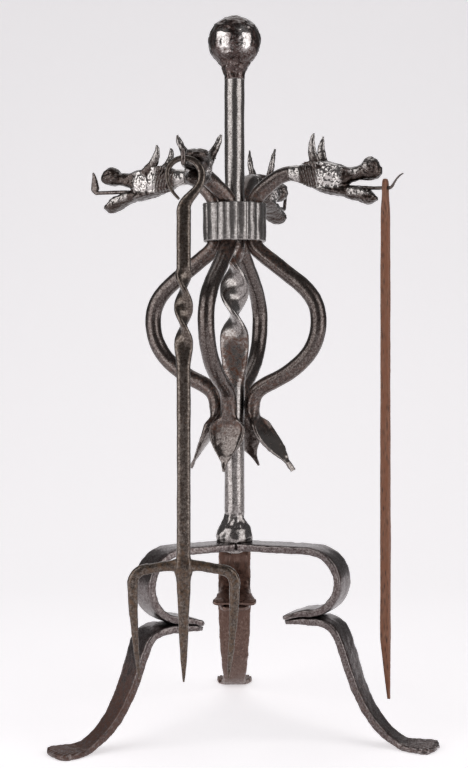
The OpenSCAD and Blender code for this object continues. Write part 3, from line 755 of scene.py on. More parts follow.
plain = fade(verts[:, 2], HUB_Z + BELL_H, HUB_Z + BELL_H + 10)
verts = uneven(verts, faces, 0.36, 16, 6, stretch=(1, 1, 0.45), where=plain)
verts = uneven(verts, faces, 0.1, 2.4, 7, where=plain)
under_collar = fade(verts[:, 2], 445, 470) * fade(495 - verts[:, 2], 0, 10)
low_blade = 0.9 * fade(verts[:, 2], 335, 350) * fade(420 - verts[:, 2], 0, 40)
make_piece("forged_shaft", verts + AXIS, faces, shaft_iron, replaces=["centre_shaft"],
           stained=under_collar + low_blade)

# %% [markdown]
# ## The ball
#
# The ball was forged to a rough round under many flat blows, so its outline is a polygon with soft corners.
# It starts as a turned form with a trumpet-shaped neck. Each blow then presses its own patch onto a plane,
# and a second set of many lighter blows leaves small facets. Two upright streaks in front, where the lamps'
# reflections fall, are painted bright in the colour: painted highlights.

# %% The ball's mesh
BALL_RING = 112
# Painted highlights: two upright streaks on the ball's front, where the left and right lamps reflect, made
# brighter in the colour
BALL_PAINTED_HIGHLIGHTS = [((-13, -22, 691), (-10, -23, 679)), ((9, -24, 694), (12, -22, 679))]
BALL_HIGHLIGHT_WIDTH = 6
BALL_R = (ball_high[0] - ball_low[0]) / 2 / MM
BALL_Z = ball_high[2] / MM - BALL_R
NECK_FLARE = [(0, 0), (0.25, 0.08), (0.5, 0.26), (0.75, 0.56), (1, 1)]
NECK_H, NECK_SPREAD = 16.5, 7


def ball_profile():
    """Radius and height pairs, from the shaft up the neck and over the ball."""
    neck = [(SHAFT_R + NECK_SPREAD * table(t, NECK_FLARE, 0.08), SHAFT_TOP_Z + NECK_H * t)
            for t in np.linspace(0, 0.93, 16)]
    start = math.pi - math.asin(neck[-1][0] / (BALL_R + 0.4))
    round_part = [(BALL_R * math.sin(a), BALL_Z + BALL_R * math.cos(a)) for a in np.linspace(start, 0.03, 70)]
    return [(SHAFT_R - SEAM_IN, SHAFT_TOP_Z - SEAM_IN)] + neck + round_part


verts, faces = skin(sweep([(out(0, z), UP, X, disc(r, BALL_RING)) for r, z in ball_profile()]))
on_ball = fade(verts[:, 2], SHAFT_TOP_Z + 8, SHAFT_TOP_Z + 16)
verts = blows(verts, faces, 84, 1.25, 11, keep=0.1, where=on_ball)
verts = blows(verts, faces, 420, 0.45, 12, keep=0.2, where=on_ball)
verts = uneven(verts, faces, 0.9, 7, 13)
# The streaks are painted highlights in the ball's colour
make_piece("hammered_ball", verts + AXIS, faces, ball_iron, slot="worn_iron", replaces=["ball_finial"],
           rubbed=sum(near_stroke(verts, a, b, BALL_HIGHLIGHT_WIDTH) for a, b in BALL_PAINTED_HIGHLIGHTS))

# %% [markdown]
# ## The collar
#
# The collar is a strip of sheet, bent round the four bars while hot and hammered in between them, which
# left upright flutes. They are not quite even: some are broad and some narrow. So the flutes get a list of
# their own directions in front, seen from the shaft, and even steps behind. The sheet's inside stays a true
# round, just clear of the bars. Its overlap shows as a step to the right of the front.

# %% Measures of the collar
collar_low, collar_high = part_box("collar")
COLLAR_Z, COLLAR_TOP = collar_low[2] / MM, collar_high[2] / MM
COLLAR_BORE_R = 28.8
VALLEY_R = COLLAR_BORE_R + 1.7
FLUTE_H = 1.6
FLUTES = sorted([(270 + a) % 360 for a in (-74, -48, -24, -6, 17, 32, 56, 80)] + list(range(16, 180, 24)))
SEAM = 291
EDGE_GROOVE = 2.6


# %% The collar's mesh
def flute(angle):
    """How far the sheet stands out at an angle: round ridges with sharp valleys between them."""
    below = max([f for f in FLUTES if f <= angle], default=FLUTES[-1] - 360)
    above = min([f for f in FLUTES if f > angle], default=FLUTES[0] + 360)
    t = (angle - below) / (above - below)
    return FLUTE_H * abs(math.cos(math.pi * t)) ** 0.75


SHEET_ROWS = 26
AROUND = 360
rings = []
for j in range(AROUND):
    angle = j * 360 / AROUND
    overlap = 0.9 * float(fade((angle - SEAM) % 360, 0, 2)) * float(fade(-((angle - SEAM) % 360), -40, -20))
    ring = []
    for z in np.linspace(0, 1, SHEET_ROWS):
        height = COLLAR_Z + (COLLAR_TOP - COLLAR_Z) * z
        edge = min(height - COLLAR_Z, COLLAR_TOP - height)
        r = VALLEY_R + flute(angle) + overlap - 0.5 * math.exp(-(((edge - EDGE_GROOVE) / 0.9) ** 2))
        r += 0.5 * float(fade(z, 0.75, 1.0)) - 0.6 * float(fade(1.0 - edge, 0, 1))
        ring.append((r, height))
    ring += [(COLLAR_BORE_R, COLLAR_TOP - 0.3), (COLLAR_BORE_R, (COLLAR_Z + COLLAR_TOP) / 2),
             (COLLAR_BORE_R, COLLAR_Z + 0.3)]
    rings.append(turned([out(r, z) for r, z in ring], angle))
# The first ring comes again at the end. Its faces then go back to the first one's points
verts, faces = skin(np.array(rings + rings[:1]), closed_ends=False)
verts = verts[:-len(rings[0])]
faces = [tuple(k % len(verts) for k in face)[::-1] for face in faces]
outside = fade(np.linalg.norm(verts[:, :2], axis=1), COLLAR_BORE_R + 0.4, COLLAR_BORE_R + 1.4)
verts = uneven(verts, faces, 0.5, 11, 21, octaves=2, stretch=(1, 1, 0.5), where=outside)
verts = uneven(verts, faces, 0.07, 2.6, 22, where=outside)
make_piece("fluted_collar", verts + AXIS, faces, collar_iron, slot="worn_iron", replaces=["collar"])

# %% [markdown]
# ## The four bars and their leaves
#
# Each bar is one length of round iron. Its lower end is beaten out to a heart-shaped leaf with a drawn
# point and a rim turned up by the hammer. Then it runs up beside the shaft, bows out as the cage, comes back
# into the collar, and curves out again as the neck of a head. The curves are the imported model's own, with
# many more stations, and the leaf's section is dished and rimmed.

# %% Measures of the bars
BAR_R = 8
BAR_RING = 44
SEAT_R, BULGE_R, BULGE_Z = 20.5, 87, 408
WAIST_R, WAIST_Z = SHAFT_R + BAR_R + 0.3, 322
LEAF_TIP_Z, LEAF_W = 260, 33
LEAF_REACH = by_side(61, 34, 46, 56)
LEAF_SIDE = by_side(0, 0, 0, -8)
LEAF_TURN = by_side(-38, 0, 0, 0)
LEAF_WIDE = by_side(1.0, 1.14, 0.95, 1.0)
# How much each leaf's face is painted brighter, by side: painted sheen, strongest on the right leaf, which
# faces the right lamp, and none on the back leaf, which faces away from the lamps
LEAF_PAINTED_SHEEN = by_side(1.0, 0.2, 0.5, 0.0)
LEAF_TIP = by_side(0.2, 0.07, 0.06, 0.07)
LEAF_HALF_W = [(0.12, 0.17), (0.21, 0.36), (0.33, 0.68), (0.45, 0.9), (0.56, 1), (0.66, 1), (0.73, 0.86),
               (0.8, 0.6), (0.87, 0.5), (1, 0.485)]
LEAF_HALF_T = [(0, 1.2), (0.55, 2.0), (0.7, 2.8), (0.8, 4.6), (0.9, 7), (1, BAR_R)]
NECK_Z, NECK_R = 553.5, 7.5
NECK_REACH = by_side(58, 58, 51, 58)
NECK_SIDE = by_side(0, -16, 0, 0)
HEAD_TURN = by_side(0, 17, 0, -3)
HEAD_LIFT = by_side(0, 5.5, 2, -3)


# %% Curves of a bar, from leaf to neck
def above(far, down):
    """A place in the cage's upper half, in shares of its reach and of its height below the collar."""
    return out(SEAT_R + (BULGE_R - SEAT_R) * far, COLLAR_Z + (BULGE_Z - COLLAR_Z) * down)


def below(far, up):
    """A place in the cage's lower half, in shares of its reach and of its height above the waist."""
    return out(WAIST_R + (BULGE_R - WAIST_R) * far, WAIST_Z + (BULGE_Z - WAIST_Z) * up)


OUT_OF_WAIST = [below(0, 0), below(0, 0.23), below(0.2, 0.24), below(0.46, 0.36)]
INTO_BULGE = [below(0.46, 0.36), below(0.78, 0.51), below(1, 0.7), below(1, 1)]
OVER_BULGE = [above(1, 1), above(1, 0.75), above(0.835, 0.61), above(0.594, 0.457)]
MIDDLE = [above(0.594, 0.457), above(0.474, 0.379), above(0.35, 0.301), above(0.233, 0.222)]
INTO_COLLAR = [above(0.233, 0.222), above(0.14, 0.161), above(0, 0.09), above(0, 0)]


def leaf_curve(side):
    reach = LEAF_REACH[side]
    return [np.array([reach, LEAF_SIDE[side], LEAF_TIP_Z]),
            out(reach + (WAIST_R - reach) * 0.35, LEAF_TIP_Z + (WAIST_Z - LEAF_TIP_Z) * 0.37),
            out(WAIST_R, WAIST_Z - 18), out(WAIST_R, WAIST_Z)]


def neck_end(side):
    return np.array([NECK_REACH[side], NECK_SIDE[side], NECK_Z])


def head_way(side):
    """The direction in which a head looks, before its bar's angle turns it."""
    turn, lift = math.radians(HEAD_TURN[side]), math.radians(HEAD_LIFT[side])
    return np.array([math.cos(turn) * math.cos(lift), math.sin(turn) * math.cos(lift), math.sin(lift)])


def neck_curve(side):
    return [out(SEAT_R, COLLAR_TOP + 1), out(SEAT_R, COLLAR_TOP + 7), neck_end(side) - 14 * head_way(side),
            neck_end(side)]


# %% A leaf's section, and the bars' meshes
def on_leaf(z):
    return fade(WAIST_Z - 22 - z, 0, 12)


def leaf_section(t, side):
    """A dished plate with a raised rim, which grows into the round bar."""
    wider = 1 + (LEAF_WIDE[side] - 1) * float(fade(0.85 - t, 0, 0.2))
    a = table(t, [(0, LEAF_TIP[side])] + LEAF_HALF_W, 0.03) * LEAF_W / 2 * wider
    b = table(t, LEAF_HALF_T, 0.04)
    flatness = float(fade(1 - t, 0.15, 0.35))
    section = oval(a, b, BAR_RING, 2 + 1.5 * flatness)
    across = section[:, 0] / a
    plate = flatness * float(fade(t, 0.1, 0.4))
    section[:, 1] += plate * (2.2 * (1 - across**2) - 0.3)
    rim = np.exp(-(((abs(across) - 0.9) / 0.1) ** 2)) * (section[:, 1] < 1)
    section[:, 1] -= plate * (1.2 + 1.4 * float(fade(t, 0.4, 0.7))) * rim
    return spun(section, LEAF_TURN[side] * (1 - t))


def forged_bar(side):
    stations = [(place, way, Y, leaf_section(t, side)) for t, place, way in along(leaf_curve(side), 58)]
    round_bar = disc(BAR_R, BAR_RING)
    for curve, n in ((OUT_OF_WAIST, 26), (INTO_BULGE, 26), (OVER_BULGE, 26), (MIDDLE, 16), (INTO_COLLAR, 18)):
        stations += [(place, way, Y, round_bar) for _, place, way in along(curve, n)]
    stations += [(out(SEAT_R, z), UP, Y, round_bar) for z in np.linspace(COLLAR_Z, COLLAR_TOP, 8)]
    for t, place, way in along(neck_curve(side), 30, last=True):
        stations.append((place, way, Y, disc(BAR_R + (NECK_R - BAR_R) * t, BAR_RING)))
    verts, faces = skin(sweep(stations))
    z = verts[:, 2]
    free = np.clip(fade(COLLAR_Z - z, 0, 8) + fade(z, COLLAR_TOP, COLLAR_TOP + 8), 0, 1)
    seed = SEEDS[side]
    verts = uneven(verts, faces, 0.34, 15, seed, where=free)
    verts = uneven(verts, faces, 0.08, 3, seed + 10, where=free)
    verts = uneven(verts, faces, 0.7, 5, seed + 20, stretch=(1, 1, 0.5), where=on_leaf(z))
    return turned(verts, ARM_AZIMUTH[side]) + AXIS, faces


for side in SIDES:
    verts, faces = forged_bar(side)
    z = verts[:, 2]
    by_collar = fade(z, COLLAR_Z - 45, COLLAR_Z - 10) * fade(COLLAR_TOP + 25 - z, 0, 15)
    low_down = 0.5 * fade(390 - z, 0, 50) * fade(z, WAIST_Z - 35, WAIST_Z - 10)
    # Each leaf gets its side's painted sheen through the shine mark
    make_piece("bowed_bar_" + side, verts, faces, bar_iron, replaces=["arm_" + side],
               stained=0.55 * by_collar + low_down, rubbed=LEAF_PAINTED_SHEEN[side] * on_leaf(z))

# %% [markdown]
# ## The four heads
#
# Each head is a horned beast with an open mouth. A smith makes one by upsetting the bar's end, splitting it
# for the jaws, and cutting the face with chisels and punches. Here the skull and upper jaw are one loft and
# the lower jaw another. A voxel remesh melts them into one skin, as a forge weld would. Then the marks go
# in: chisel cuts in the mane, a punched and pitted cheek, a ridge from neck to jaw, brows, eyes and nostrils.

# %% Sections of the head: distance from the neck's end, top, underside and half width
SKULL = [
    (0, 7.5, -7.5, 7.5), (8, 7.7, -9, 8.2), (13, 8, -11, 9), (17, 10.6, -14, 10.8), (24, 11.6, -16.5, 12.4),
    (33, 11.2, -20, 13.4), (44, 9.2, -21.5, 12.8), (52, 6.6, -19, 11.4), (58, 4.4, -13.6, 9.4),
    (63, 3.6, -10.4, 7.6), (68, 4.2, -9.4, 7.2), (72, 6.2, -9.2, 8.6), (75, 11, -9.4, 10.6),
    (79, 13.4, -9.6, 11.2), (83, 13.3, -9.2, 11), (87, 10.6, -8.2, 9.6), (90, 6.2, -6.4, 6.8),
    (91.8, 1.6, -2.6, 2.6)
]
JAW = [
    (30, -10, -19, 10), (40, -11, -22, 11.6), (50, -13, -24.2, 11.4), (55, -13.4, -24.4, 10.8),
    (58, -13.6, -26.6, 10.8), (66, -14.2, -29, 10.4), (72, -15, -31, 11), (77, -16.6, -32.4, 11.4),
    (81, -19, -32.4, 10.8), (84.5, -22.5, -31, 9), (87.5, -26, -28.6, 5)
]
LOFT_STEP, LOFT_RING, LOFT_POWER = 0.8, 64, 2.4
VOXEL, SOFTENED = 0.62, 3
EAR_RING = 20
EAR_GUIDES = [(34, 9.5, 5.5), (28, 13, 8), (22, 14.5, 8.5), (15.5, 15.5, 7)]
EAR_HALF_W = [(0, 3), (0.35, 3.6), (0.75, 2.4), (1, 0.5)]
JAW_DROP = by_side(0, 0, 5, 2)
SNOUT_HEIGHT = by_side(1, 0.5, 0.85, 0.9)


def loft(sections):
    stations = []
    for x in np.arange(sections[0][0], sections[-1][0] + LOFT_STEP / 2, LOFT_STEP):
        top, low, half = (table(x, [(s[0], s[k]) for s in sections], 1.2) for k in (1, 2, 3))
        section = oval(half, (top - low) / 2, LOFT_RING, LOFT_POWER)
        stations.append((out(x, (top + low) / 2), X, Y, section))
    return skin(sweep(stations))


def welded(verts, faces):
    """One skin round several closed forms that overlap, as a forge weld leaves them."""
    thing = new_object("scratch", new_mesh("scratch", verts, faces))
    melt = thing.modifiers.new("melt", "REMESH")
    melt.mode = "VOXEL"
    melt.voxel_size = VOXEL
    thing.modifiers.new("soften", "SMOOTH").iterations = SOFTENED
    return reshaped(thing)


def ear(hand):
    """A small leaf that lies back along the skull, under the horn."""
    guides = [np.array([x, hand * y, z]) for x, y, z in EAR_GUIDES]
    stations = []
    for t, place, way in along(guides, 10, last=True):
        stations.append((place, way, UP, oval(table(t, EAR_HALF_W), 1.6 - 0.9 * t, EAR_RING)))
    return skin(sweep(stations))


# %% The marks on a head, cut on both sides alike
DENTS = [
    # count, reach from and to, height from and to, least and most depth, least and most width
    (120, (31, 55), (-17, 4), (0.2, 0.6), (0.8, 1.5)),
    (60, (58, 84), (-33, -20), (0.2, 0.5), (0.8, 1.4)),
]


def head_marks(verts, seed):
    """How far each point moves out, in mm."""
    draw = random.Random(seed)
    x, y, z = verts.T
    flat = verts[:, [0, 2]]
    flank = fade(abs(y), 2.5, 6)
    amount = np.zeros(len(verts))
    for k in range(8):
        start = 10 + 2.7 * k + draw.uniform(-0.4, 0.4)
        cut = near_stroke(flat, (start, 11), (start + 5.5, -15), 0.75)
        amount -= 0.95 * cut * fade(abs(y), 0.5, 3) * fade(x, 9, 12) * fade(33 - x, 0, 3)
    for count, reach, height, depth, width in DENTS:
        for _ in range(count):
            spot = (draw.uniform(*reach), draw.uniform(*height))
            amount -= draw.uniform(*depth) * near_stroke(flat, spot, spot, draw.uniform(*width)) * flank
    strokes = [
        # points seen from the side or from above, height, start, end, width, where
        (flat, 1.3, (2, -8), (52, -21.5), 1.5, flank),
        (flat, 1.2, (33, 8.5), (62, 0.5), 1.5, fade(abs(y), 4, 8)),
        (flat, -1.0, (58, -15), (50, -17.5), 1.4, flank),
        (flat, 0.9, (42, -3), (42, -3), 3.4, flank),
        (flat, -1.9, (42, -3), (42, -3), 1.5, flank),
        (flat, -1.5, (83, 5.5), (86, 3.5), 1.7, fade(abs(y), 2.5, 5)),
        (flat, -0.9, (73, 2), (82, -4), 1.3, flank),
        (verts[:, :2], -0.8, (78, 0), (92, 0), 1.2, fade(z, 4, 7)),
        (flat, 0.6, (78, -21.5), (85, -26), 1.4, 1),
    ]
    for points, height, start, end, width, where in strokes:
        amount += height * near_stroke(points, start, end, width) * where
    return amount


def at_neck(points, side):
    """Points turned with their head and put at the end of its neck, in the room."""
    return turned(turned(points, HEAD_TURN[side]) + neck_end(side), ARM_AZIMUTH[side]) + AXIS


def in_room(points, side):
    """Points of a head's own frame, lifted and put at the end of its neck."""
    lift = math.radians(HEAD_LIFT[side])
    c, s = math.cos(lift), math.sin(lift)
    x, y, z = points.T
    return at_neck(np.stack([x * c - z * s, y, x * s + z * c], -1), side)


def own_shape(verts, side):
    """Each beast's own jaw and snout, bent from the blank that all four share."""
    x, _, z = verts.T
    jaw = fade(-z, 12, 15)
    snout = fade(x, 66, 74) * (1 - jaw)
    bent = verts.copy()
    bent[:, 2] -= JAW_DROP[side] * jaw * fade(x, 56, 84)
    bent[:, 2] += (SNOUT_HEIGHT[side] - 1) * snout * (z + 9)
    return bent


def shine(verts):
    """1 where hands and tools rub a head: its cheeks, the jaw's flanks, the brow and the snout's top."""
    x, y, z = verts.T
    side_on = fade(abs(y), 4, 8)
    cheek = fade(x, 27, 32) * fade(56 - x, 0, 5) * fade(z, -18, -14) * side_on
    jaw = fade(x, 58, 62) * fade(z, -26, -22) * fade(-14 - z, 0, 3) * side_on * 0.55
    snout = near_stroke(verts, (82, -6, 9), (78, -8, 4), 4) + near_stroke(verts, (60, -6, 0), (70, -6, -1), 3)
    neck = fade(13 - x, 0, 4) * 0.7
    return np.clip(cheek + jaw + 0.8 * snout + neck, 0, 1)


# %% The heads' meshes
blank_verts, blank_faces = welded(*joined([loft(SKULL), loft(JAW), ear(1), ear(-1)]))
for side in SIDES:
    seed = 30 + SEEDS[side]
    verts = uneven(blank_verts, blank_faces, 1.0, 11, seed, where=fade(blank_verts[:, 0], 0, 8))
    verts = pressed(verts, blank_faces, head_marks(verts, seed))
    verts = uneven(verts, blank_faces, 0.36, 3.6, seed + 5, where=fade(verts[:, 0], 0, 5))
    make_piece("horned_head_" + side, in_room(own_shape(verts, side), side), blank_faces, head_iron,
               slot="worn_iron", replaces=["head_" + side], rubbed=shine(verts))

# %% [markdown]
# ## Horns
#
# The horns are small curved blades, welded on in pairs. Each head wears its own pair: taller or shorter,
# closer or wider. They are swept from inside the skull to their tips and widen at the root like a weld.

# %% The horns' meshes
HORN_RING = 28
HORN_RISE = by_side(37, 27, 31, 38)
HORN_SPLAY = by_side(13, 21, 13, 14.5)
HORN_LEAN = by_side(2, 0, 11, 1)
HORN_ROOT_X = by_side(32, 31, 37.5, 32)
HORN_STEP = by_side(2.4, 0, 4.5, 1)
HORN_LONG = [(0, 7.2), (0.25, 5.4), (0.45, 4.4), (0.7, 3.5), (0.88, 2.3), (1, 0.8)]
HORN_THICK = {side: [(0, 5), (0.3, 3.4), (0.6, 2.6), (0.85, 1.8), (1, 0.6)] for side in SIDES}
HORN_THICK["front"] = [(0, 7), (0.3, 4.6), (0.6, 3.3), (0.88, 2.7), (1, 1.2)]


def horn(side, hand):
    rise, splay, lean = HORN_RISE[side], HORN_SPLAY[side], HORN_LEAN[side]
    root_x, step = HORN_ROOT_X[side], hand * HORN_STEP[side]
    root = np.array([root_x + step, hand * 7, 1.0])
    tip = np.array([root_x - 1 - lean + 0.6 * step, hand * splay, rise])
    middle = np.array([root_x - 4 - 0.7 * lean + 0.8 * step, hand * (9 + (splay - 9) * 0.6), rise * 0.5])
    guides = [root, root + (middle - root) * 0.7, tip + (middle - tip) * 0.8 - 3 * X, tip]
    stations = []
    for t, place, way in along(guides, 40, last=True):
        section = oval(table(t, HORN_LONG, 0.04), table(t, HORN_THICK[side], 0.04), HORN_RING, 2.3)
        stations.append((place, way, X, section))
    return skin(sweep(stations))


for side in SIDES:
    verts, faces = joined([horn(side, hand) for hand in (-1, 1)])
    verts = uneven(verts, faces, 0.6, 5, 50 + SEEDS[side])
    verts = uneven(verts, faces, 0.2, 1.6, 60 + SEEDS[side])
    make_piece("horn_pair_" + side, in_room(verts, side), faces, head_iron, slot="worn_iron",
               replaces=["horns_" + side], rubbed=0.45 * fade(verts[:, 2], 8, 20))

# %% [markdown]
# ## Tongues
#
# A tongue is drawn out thin and does the stand's work: tools hang on its level stretch. That stretch is a
# true round, and the bore above it clears it by 0.3 mm, so its section is left without any marks. Beyond it
# the tongue turns up. The left one ends in a flat blade, the others in thin curled points.

# %% The tongues' meshes
TONGUE_RING = 24
TONGUE_R = by_side(1.8, 2.2, 2.0, 2.0)
HANG_REACH = by_side(95.7, 98, 94.5, 96)
TONGUE_SIDE = by_side(0, -11, 0, 0)
TONGUE_Z = by_side(536.2, 547.3, 540.5, 533)
HOOK_REACH = by_side(17.5, 11.5, 8, 13)
HOOK_LEVEL = by_side(3.6, 5.6, 3, 4.5)
HOOK_RISE = by_side(13.5, 12, 21, 14)
MOUTH_BACK, MOUTH_MID = 59.3, -15.2
LEVEL_IN = 7
BLADE = [(0, 1), (0.15, 1.3), (0.35, 2.4), (0.65, 1.7), (1, 0.4)]
POINT = [(0, 1), (0.6, 0.95), (0.9, 0.7), (1, 0.35)]


def tongue(side):
    lift = math.radians(HEAD_LIFT[side])
    seat_r, level = TONGUE_R[side], HOOK_LEVEL[side]
    forward = np.array([math.cos(lift), 0, math.sin(lift)])
    root = np.array([MOUTH_BACK * math.cos(lift) - MOUTH_MID * math.sin(lift), 0,
                     MOUTH_BACK * math.sin(lift) + MOUTH_MID * math.cos(lift)])
    hang = np.array([HANG_REACH[side], TONGUE_SIDE[side], TONGUE_Z[side] - NECK_Z])
    seat_in, seat_out = hang - LEVEL_IN * X, hang + level * X
    reach = [root - 3 * forward, root + 11 * forward, seat_in - 12 * X, seat_in]
    hook = [seat_out, seat_out + np.array([4, 0, -1]),
            hang + np.array([level + (HOOK_REACH[side] - level) * 0.35, 0, HOOK_RISE[side] * 0.7]),
            hang + np.array([HOOK_REACH[side], 0, HOOK_RISE[side]])]
    stem, seat = disc(seat_r * 0.97, TONGUE_RING), disc(seat_r, TONGUE_RING)
    stations = [(place, way, Y, stem) for _, place, way in along(reach, 26)]
    stations += [(seat_in + (seat_out - seat_in) * t, X, Y, seat) for t in np.linspace(0, 1, 9)]
    for t, place, way in along(hook, 26, first=False, last=True):
        wide = seat_r * table(t, BLADE if side == "left" else POINT, 0.04)
        thick = seat_r * table(t, [(0, 1), (0.5, 0.62), (1, 0.35)], 0.04)
        a, b = (thick, wide) if side == "left" else (wide, thick)
        stations.append((place, way, Y, oval(a, b, TONGUE_RING)))
    verts, faces = skin(sweep(stations))
    free = fade(hang[0] - LEVEL_IN - verts[:, 0], 0, 4) + fade(verts[:, 0] - hang[0] - level, 0.5, 3)
    verts = uneven(verts, faces, 0.22, 4, 70 + SEEDS[side], where=np.clip(free, 0, 1))
    return at_neck(verts, side), faces


for side in SIDES:
    verts, faces = tongue(side)
    make_piece("drawn_tongue_" + side, verts, faces, bar_iron, replaces=["tongue_" + side])

# %% [markdown]
# ## Legs
#
# Each leg is two lengths of flat strip. The upper one leaves the hub level, turns down through half a circle
# and ends in a spread lip. The lower one starts under that lip, curls over and runs out to a foot that was
# beaten wide and scored with lines like a shell. The strips' faces are smooth and grey, and their edges show
# the hammer, so the uneven marks are strongest there. At the hub the three strips meet in mitres, which are
# cut by pressing every point that lies beyond the mitre's plane back onto it.

# %% Measures of the legs
STRIP_W = 34
STRIP_RING = 84
STRIP_MID_Z = HUB_Z - STRIP_T / 2
SCROLL_REACH = {"back": 112, "left": 105.5, "right": 117.5}
SCROLL_R = {"back": 31, "left": 33.3, "right": 30}
SCROLL_TIP_W = {"back": 46, "left": 34, "right": 40}
KNEE_REACH = {"back": 109, "left": 106, "right": 116}
FOOT_REACH = {"back": 225, "left": 200, "right": 208}
FOOT_T = 6.4
KNEE_Z = 96
LEGS = ["back", "left", "right"]
LEG_GAP = 0.3


def scroll_mid(leg):
    """How far out the middle of a scroll's half circle lies."""
    return SCROLL_REACH[leg] - STRIP_T / 2 - SCROLL_R[leg]


def mitred(verts, leg):
    """Points beyond the planes halfway to the next legs are pressed onto them."""
    here = LEGS.index(leg)
    verts = verts.copy()
    for hand, other in ((1, LEGS[(here + 1) % 3]), (-1, LEGS[here - 1])):
        apart = abs((LEG_AZIMUTH[other] - LEG_AZIMUTH[leg] + 180) % 360 - 180)
        half = math.radians(apart / 2)
        limit = np.clip(verts[:, 0] * math.tan(half) - LEG_GAP / 2, 0.2, None)
        verts[:, 1] = np.where(verts[:, 1] * hand > limit, hand * limit, verts[:, 1])
    return verts


# %% Stations of the scroll and of the lower leg: place, direction, half width, half thickness
def scroll_stations(leg):
    r, mid = SCROLL_R[leg], scroll_mid(leg)
    low = STRIP_MID_Z - 2 * r
    half_w, half_t, tip = STRIP_W / 2, STRIP_T / 2, SCROLL_TIP_W[leg] / 2
    found = [(out(x, STRIP_MID_Z), X, half_w, half_t) for x in np.linspace(0.6, mid - 2, 44)]
    for a in np.linspace(90, -90, 56):
        found.append((*arc(out(mid, low + r), r, a), half_w, half_t))
    tip_curve = [out(mid, low), out(mid - 7, low), out(mid - 17, low - 3.5), out(mid - 25, low - 6)]
    widths = [(0, half_w), (0.45, half_w + 0.3 * (tip - half_w)), (0.8, tip), (0.95, tip - 1), (1, tip - 3)]
    thicknesses = [(0, half_t), (0.7, 2.6), (0.85, 3.1), (1, 1.6)]
    for t, place, way in along(tip_curve, 24, first=False, last=True):
        found.append((place, way, table(t, widths, 0.04), table(t, thicknesses, 0.04)))
    return found


def lower_stations(leg):
    mid, knee, toe = scroll_mid(leg), KNEE_REACH[leg], FOOT_REACH[leg]
    under = STRIP_MID_Z - 2 * SCROLL_R[leg] - STRIP_T - LEG_GAP
    sole = FOOT_T / 2 - 0.3
    from_tip = [out(mid - 25, under - 3.1), out(mid - 17, under - 1.1), out(mid - 8, under), out(mid, under)]
    crest = [out(mid, under), out(mid + 11, under), out(knee - 8, under + 4), out(knee, KNEE_Z)]
    shin = [out(knee, KNEE_Z), out(knee + 8, KNEE_Z - 20), out(toe - 76, 32), out(toe - 46, 11)]
    ankle = [out(toe - 46, 11), out(toe - 38, 6.1), out(toe - 32, sole), out(toe - 24, sole)]
    widths = [(mid - 25, 11), (mid - 19, 15), (mid + 17, STRIP_W / 2 + 1), (knee, STRIP_W / 2),
              (toe - 75, STRIP_W * 0.42), (toe - 46, STRIP_W * 0.33), (toe - 36, 12.3), (toe - 22, 18),
              (toe - 10, 20.5), (toe - 4, 18), (toe, 9.2)]
    thicknesses = [(mid - 25, 2.2), (mid - 9, STRIP_T * 0.44), (mid + 1, STRIP_T / 2),
                   (toe - 52, STRIP_T / 2), (toe - 34, FOOT_T / 2), (toe - 4, FOOT_T / 2),
                   (toe, FOOT_T * 0.3)]
    places = along(from_tip, 16) + along(crest, 30) + along(shin, 60) + along(ankle, 16)
    places += [(1, out(x, sole), X) for x in np.linspace(toe - 24, toe, 26)]
    return [(p, way, table(p[0], widths, 1.0), table(p[0], thicknesses, 1.0)) for _, p, way in places]


# %% The legs' meshes
def strip(stations, seed):
    """A strip with smooth faces and hammered edges."""
    rings = sweep([(place, way, Y, slab(wide, thick, STRIP_RING)) for place, way, wide, thick in stations])
    verts, faces = skin(rings)
    half = np.repeat([s[2] for s in stations], STRIP_RING)
    half = np.concatenate([half, [stations[0][2], stations[-1][2]]])
    at_edge = fade(abs(verts[:, 1]) / half, 0.72, 0.95)
    verts = uneven(verts, faces, 0.7, 9, seed, where=0.4 + 0.6 * at_edge)
    verts = uneven(verts, faces, 0.26, 2.8, seed + 10, where=0.1 + 0.9 * at_edge)
    return verts, faces


def scored_foot(verts, faces, leg):
    """Lines cut in the top of the foot, fanning from the ankle, and a notched front edge."""
    toe = FOOT_REACH[leg]
    x, y, z = verts.T
    fan = np.degrees(np.arctan2(y, np.maximum(x - (toe - 52), 4)))
    lines = 0.5 + 0.5 * np.cos(fan / 5.2 * 2 * math.pi)
    top = fade(z, FOOT_T / 2 - 0.6, FOOT_T / 2 + 0.6) * fade(x, toe - 34, toe - 24)
    verts = pressed(verts, faces, -1.5 * lines**2 * top)
    notch = fade(verts[:, 0], toe - 6, toe) * np.exp(-(((verts[:, 1] - 5) / 1.6) ** 2))
    verts[:, 0] -= 2.2 * notch
    verts[:, 2] = np.maximum(verts[:, 2], 0)
    return verts


LEG_FINISH = {"back": brown_iron, "left": strip_iron, "right": strip_iron}
LEG_STAIN = {"back": 1.0, "left": 1.0, "right": 0.35}
for k, leg in enumerate(LEGS):
    verts, faces = strip(scroll_stations(leg), 80 + k)
    placed = turned(mitred(verts, leg), LEG_AZIMUTH[leg]) + AXIS
    make_piece("curled_strip_" + leg, placed, faces, LEG_FINISH[leg], replaces=["leg_scroll_" + leg])
    verts, faces = strip(lower_stations(leg), 90 + k)
    verts = scored_foot(verts, faces, leg)
    placed = turned(verts, LEG_AZIMUTH[leg]) + AXIS
    make_piece("footed_strip_" + leg, placed, faces, LEG_FINISH[leg], replaces=["leg_lower_" + leg],
               stained=LEG_STAIN[leg] * fade(110 - verts[:, 2], 0, 60))

# %% [markdown]
# ## The fork
#
# The fork is a flat bar with a hook at the top, one full twist, and a long middle prong. The two outer prongs
# are welded to it and bend down at rounded corners. The hook's inside is a true round that clears the tongue
# by 0.3 mm, so the hammer's marks fade out towards it.

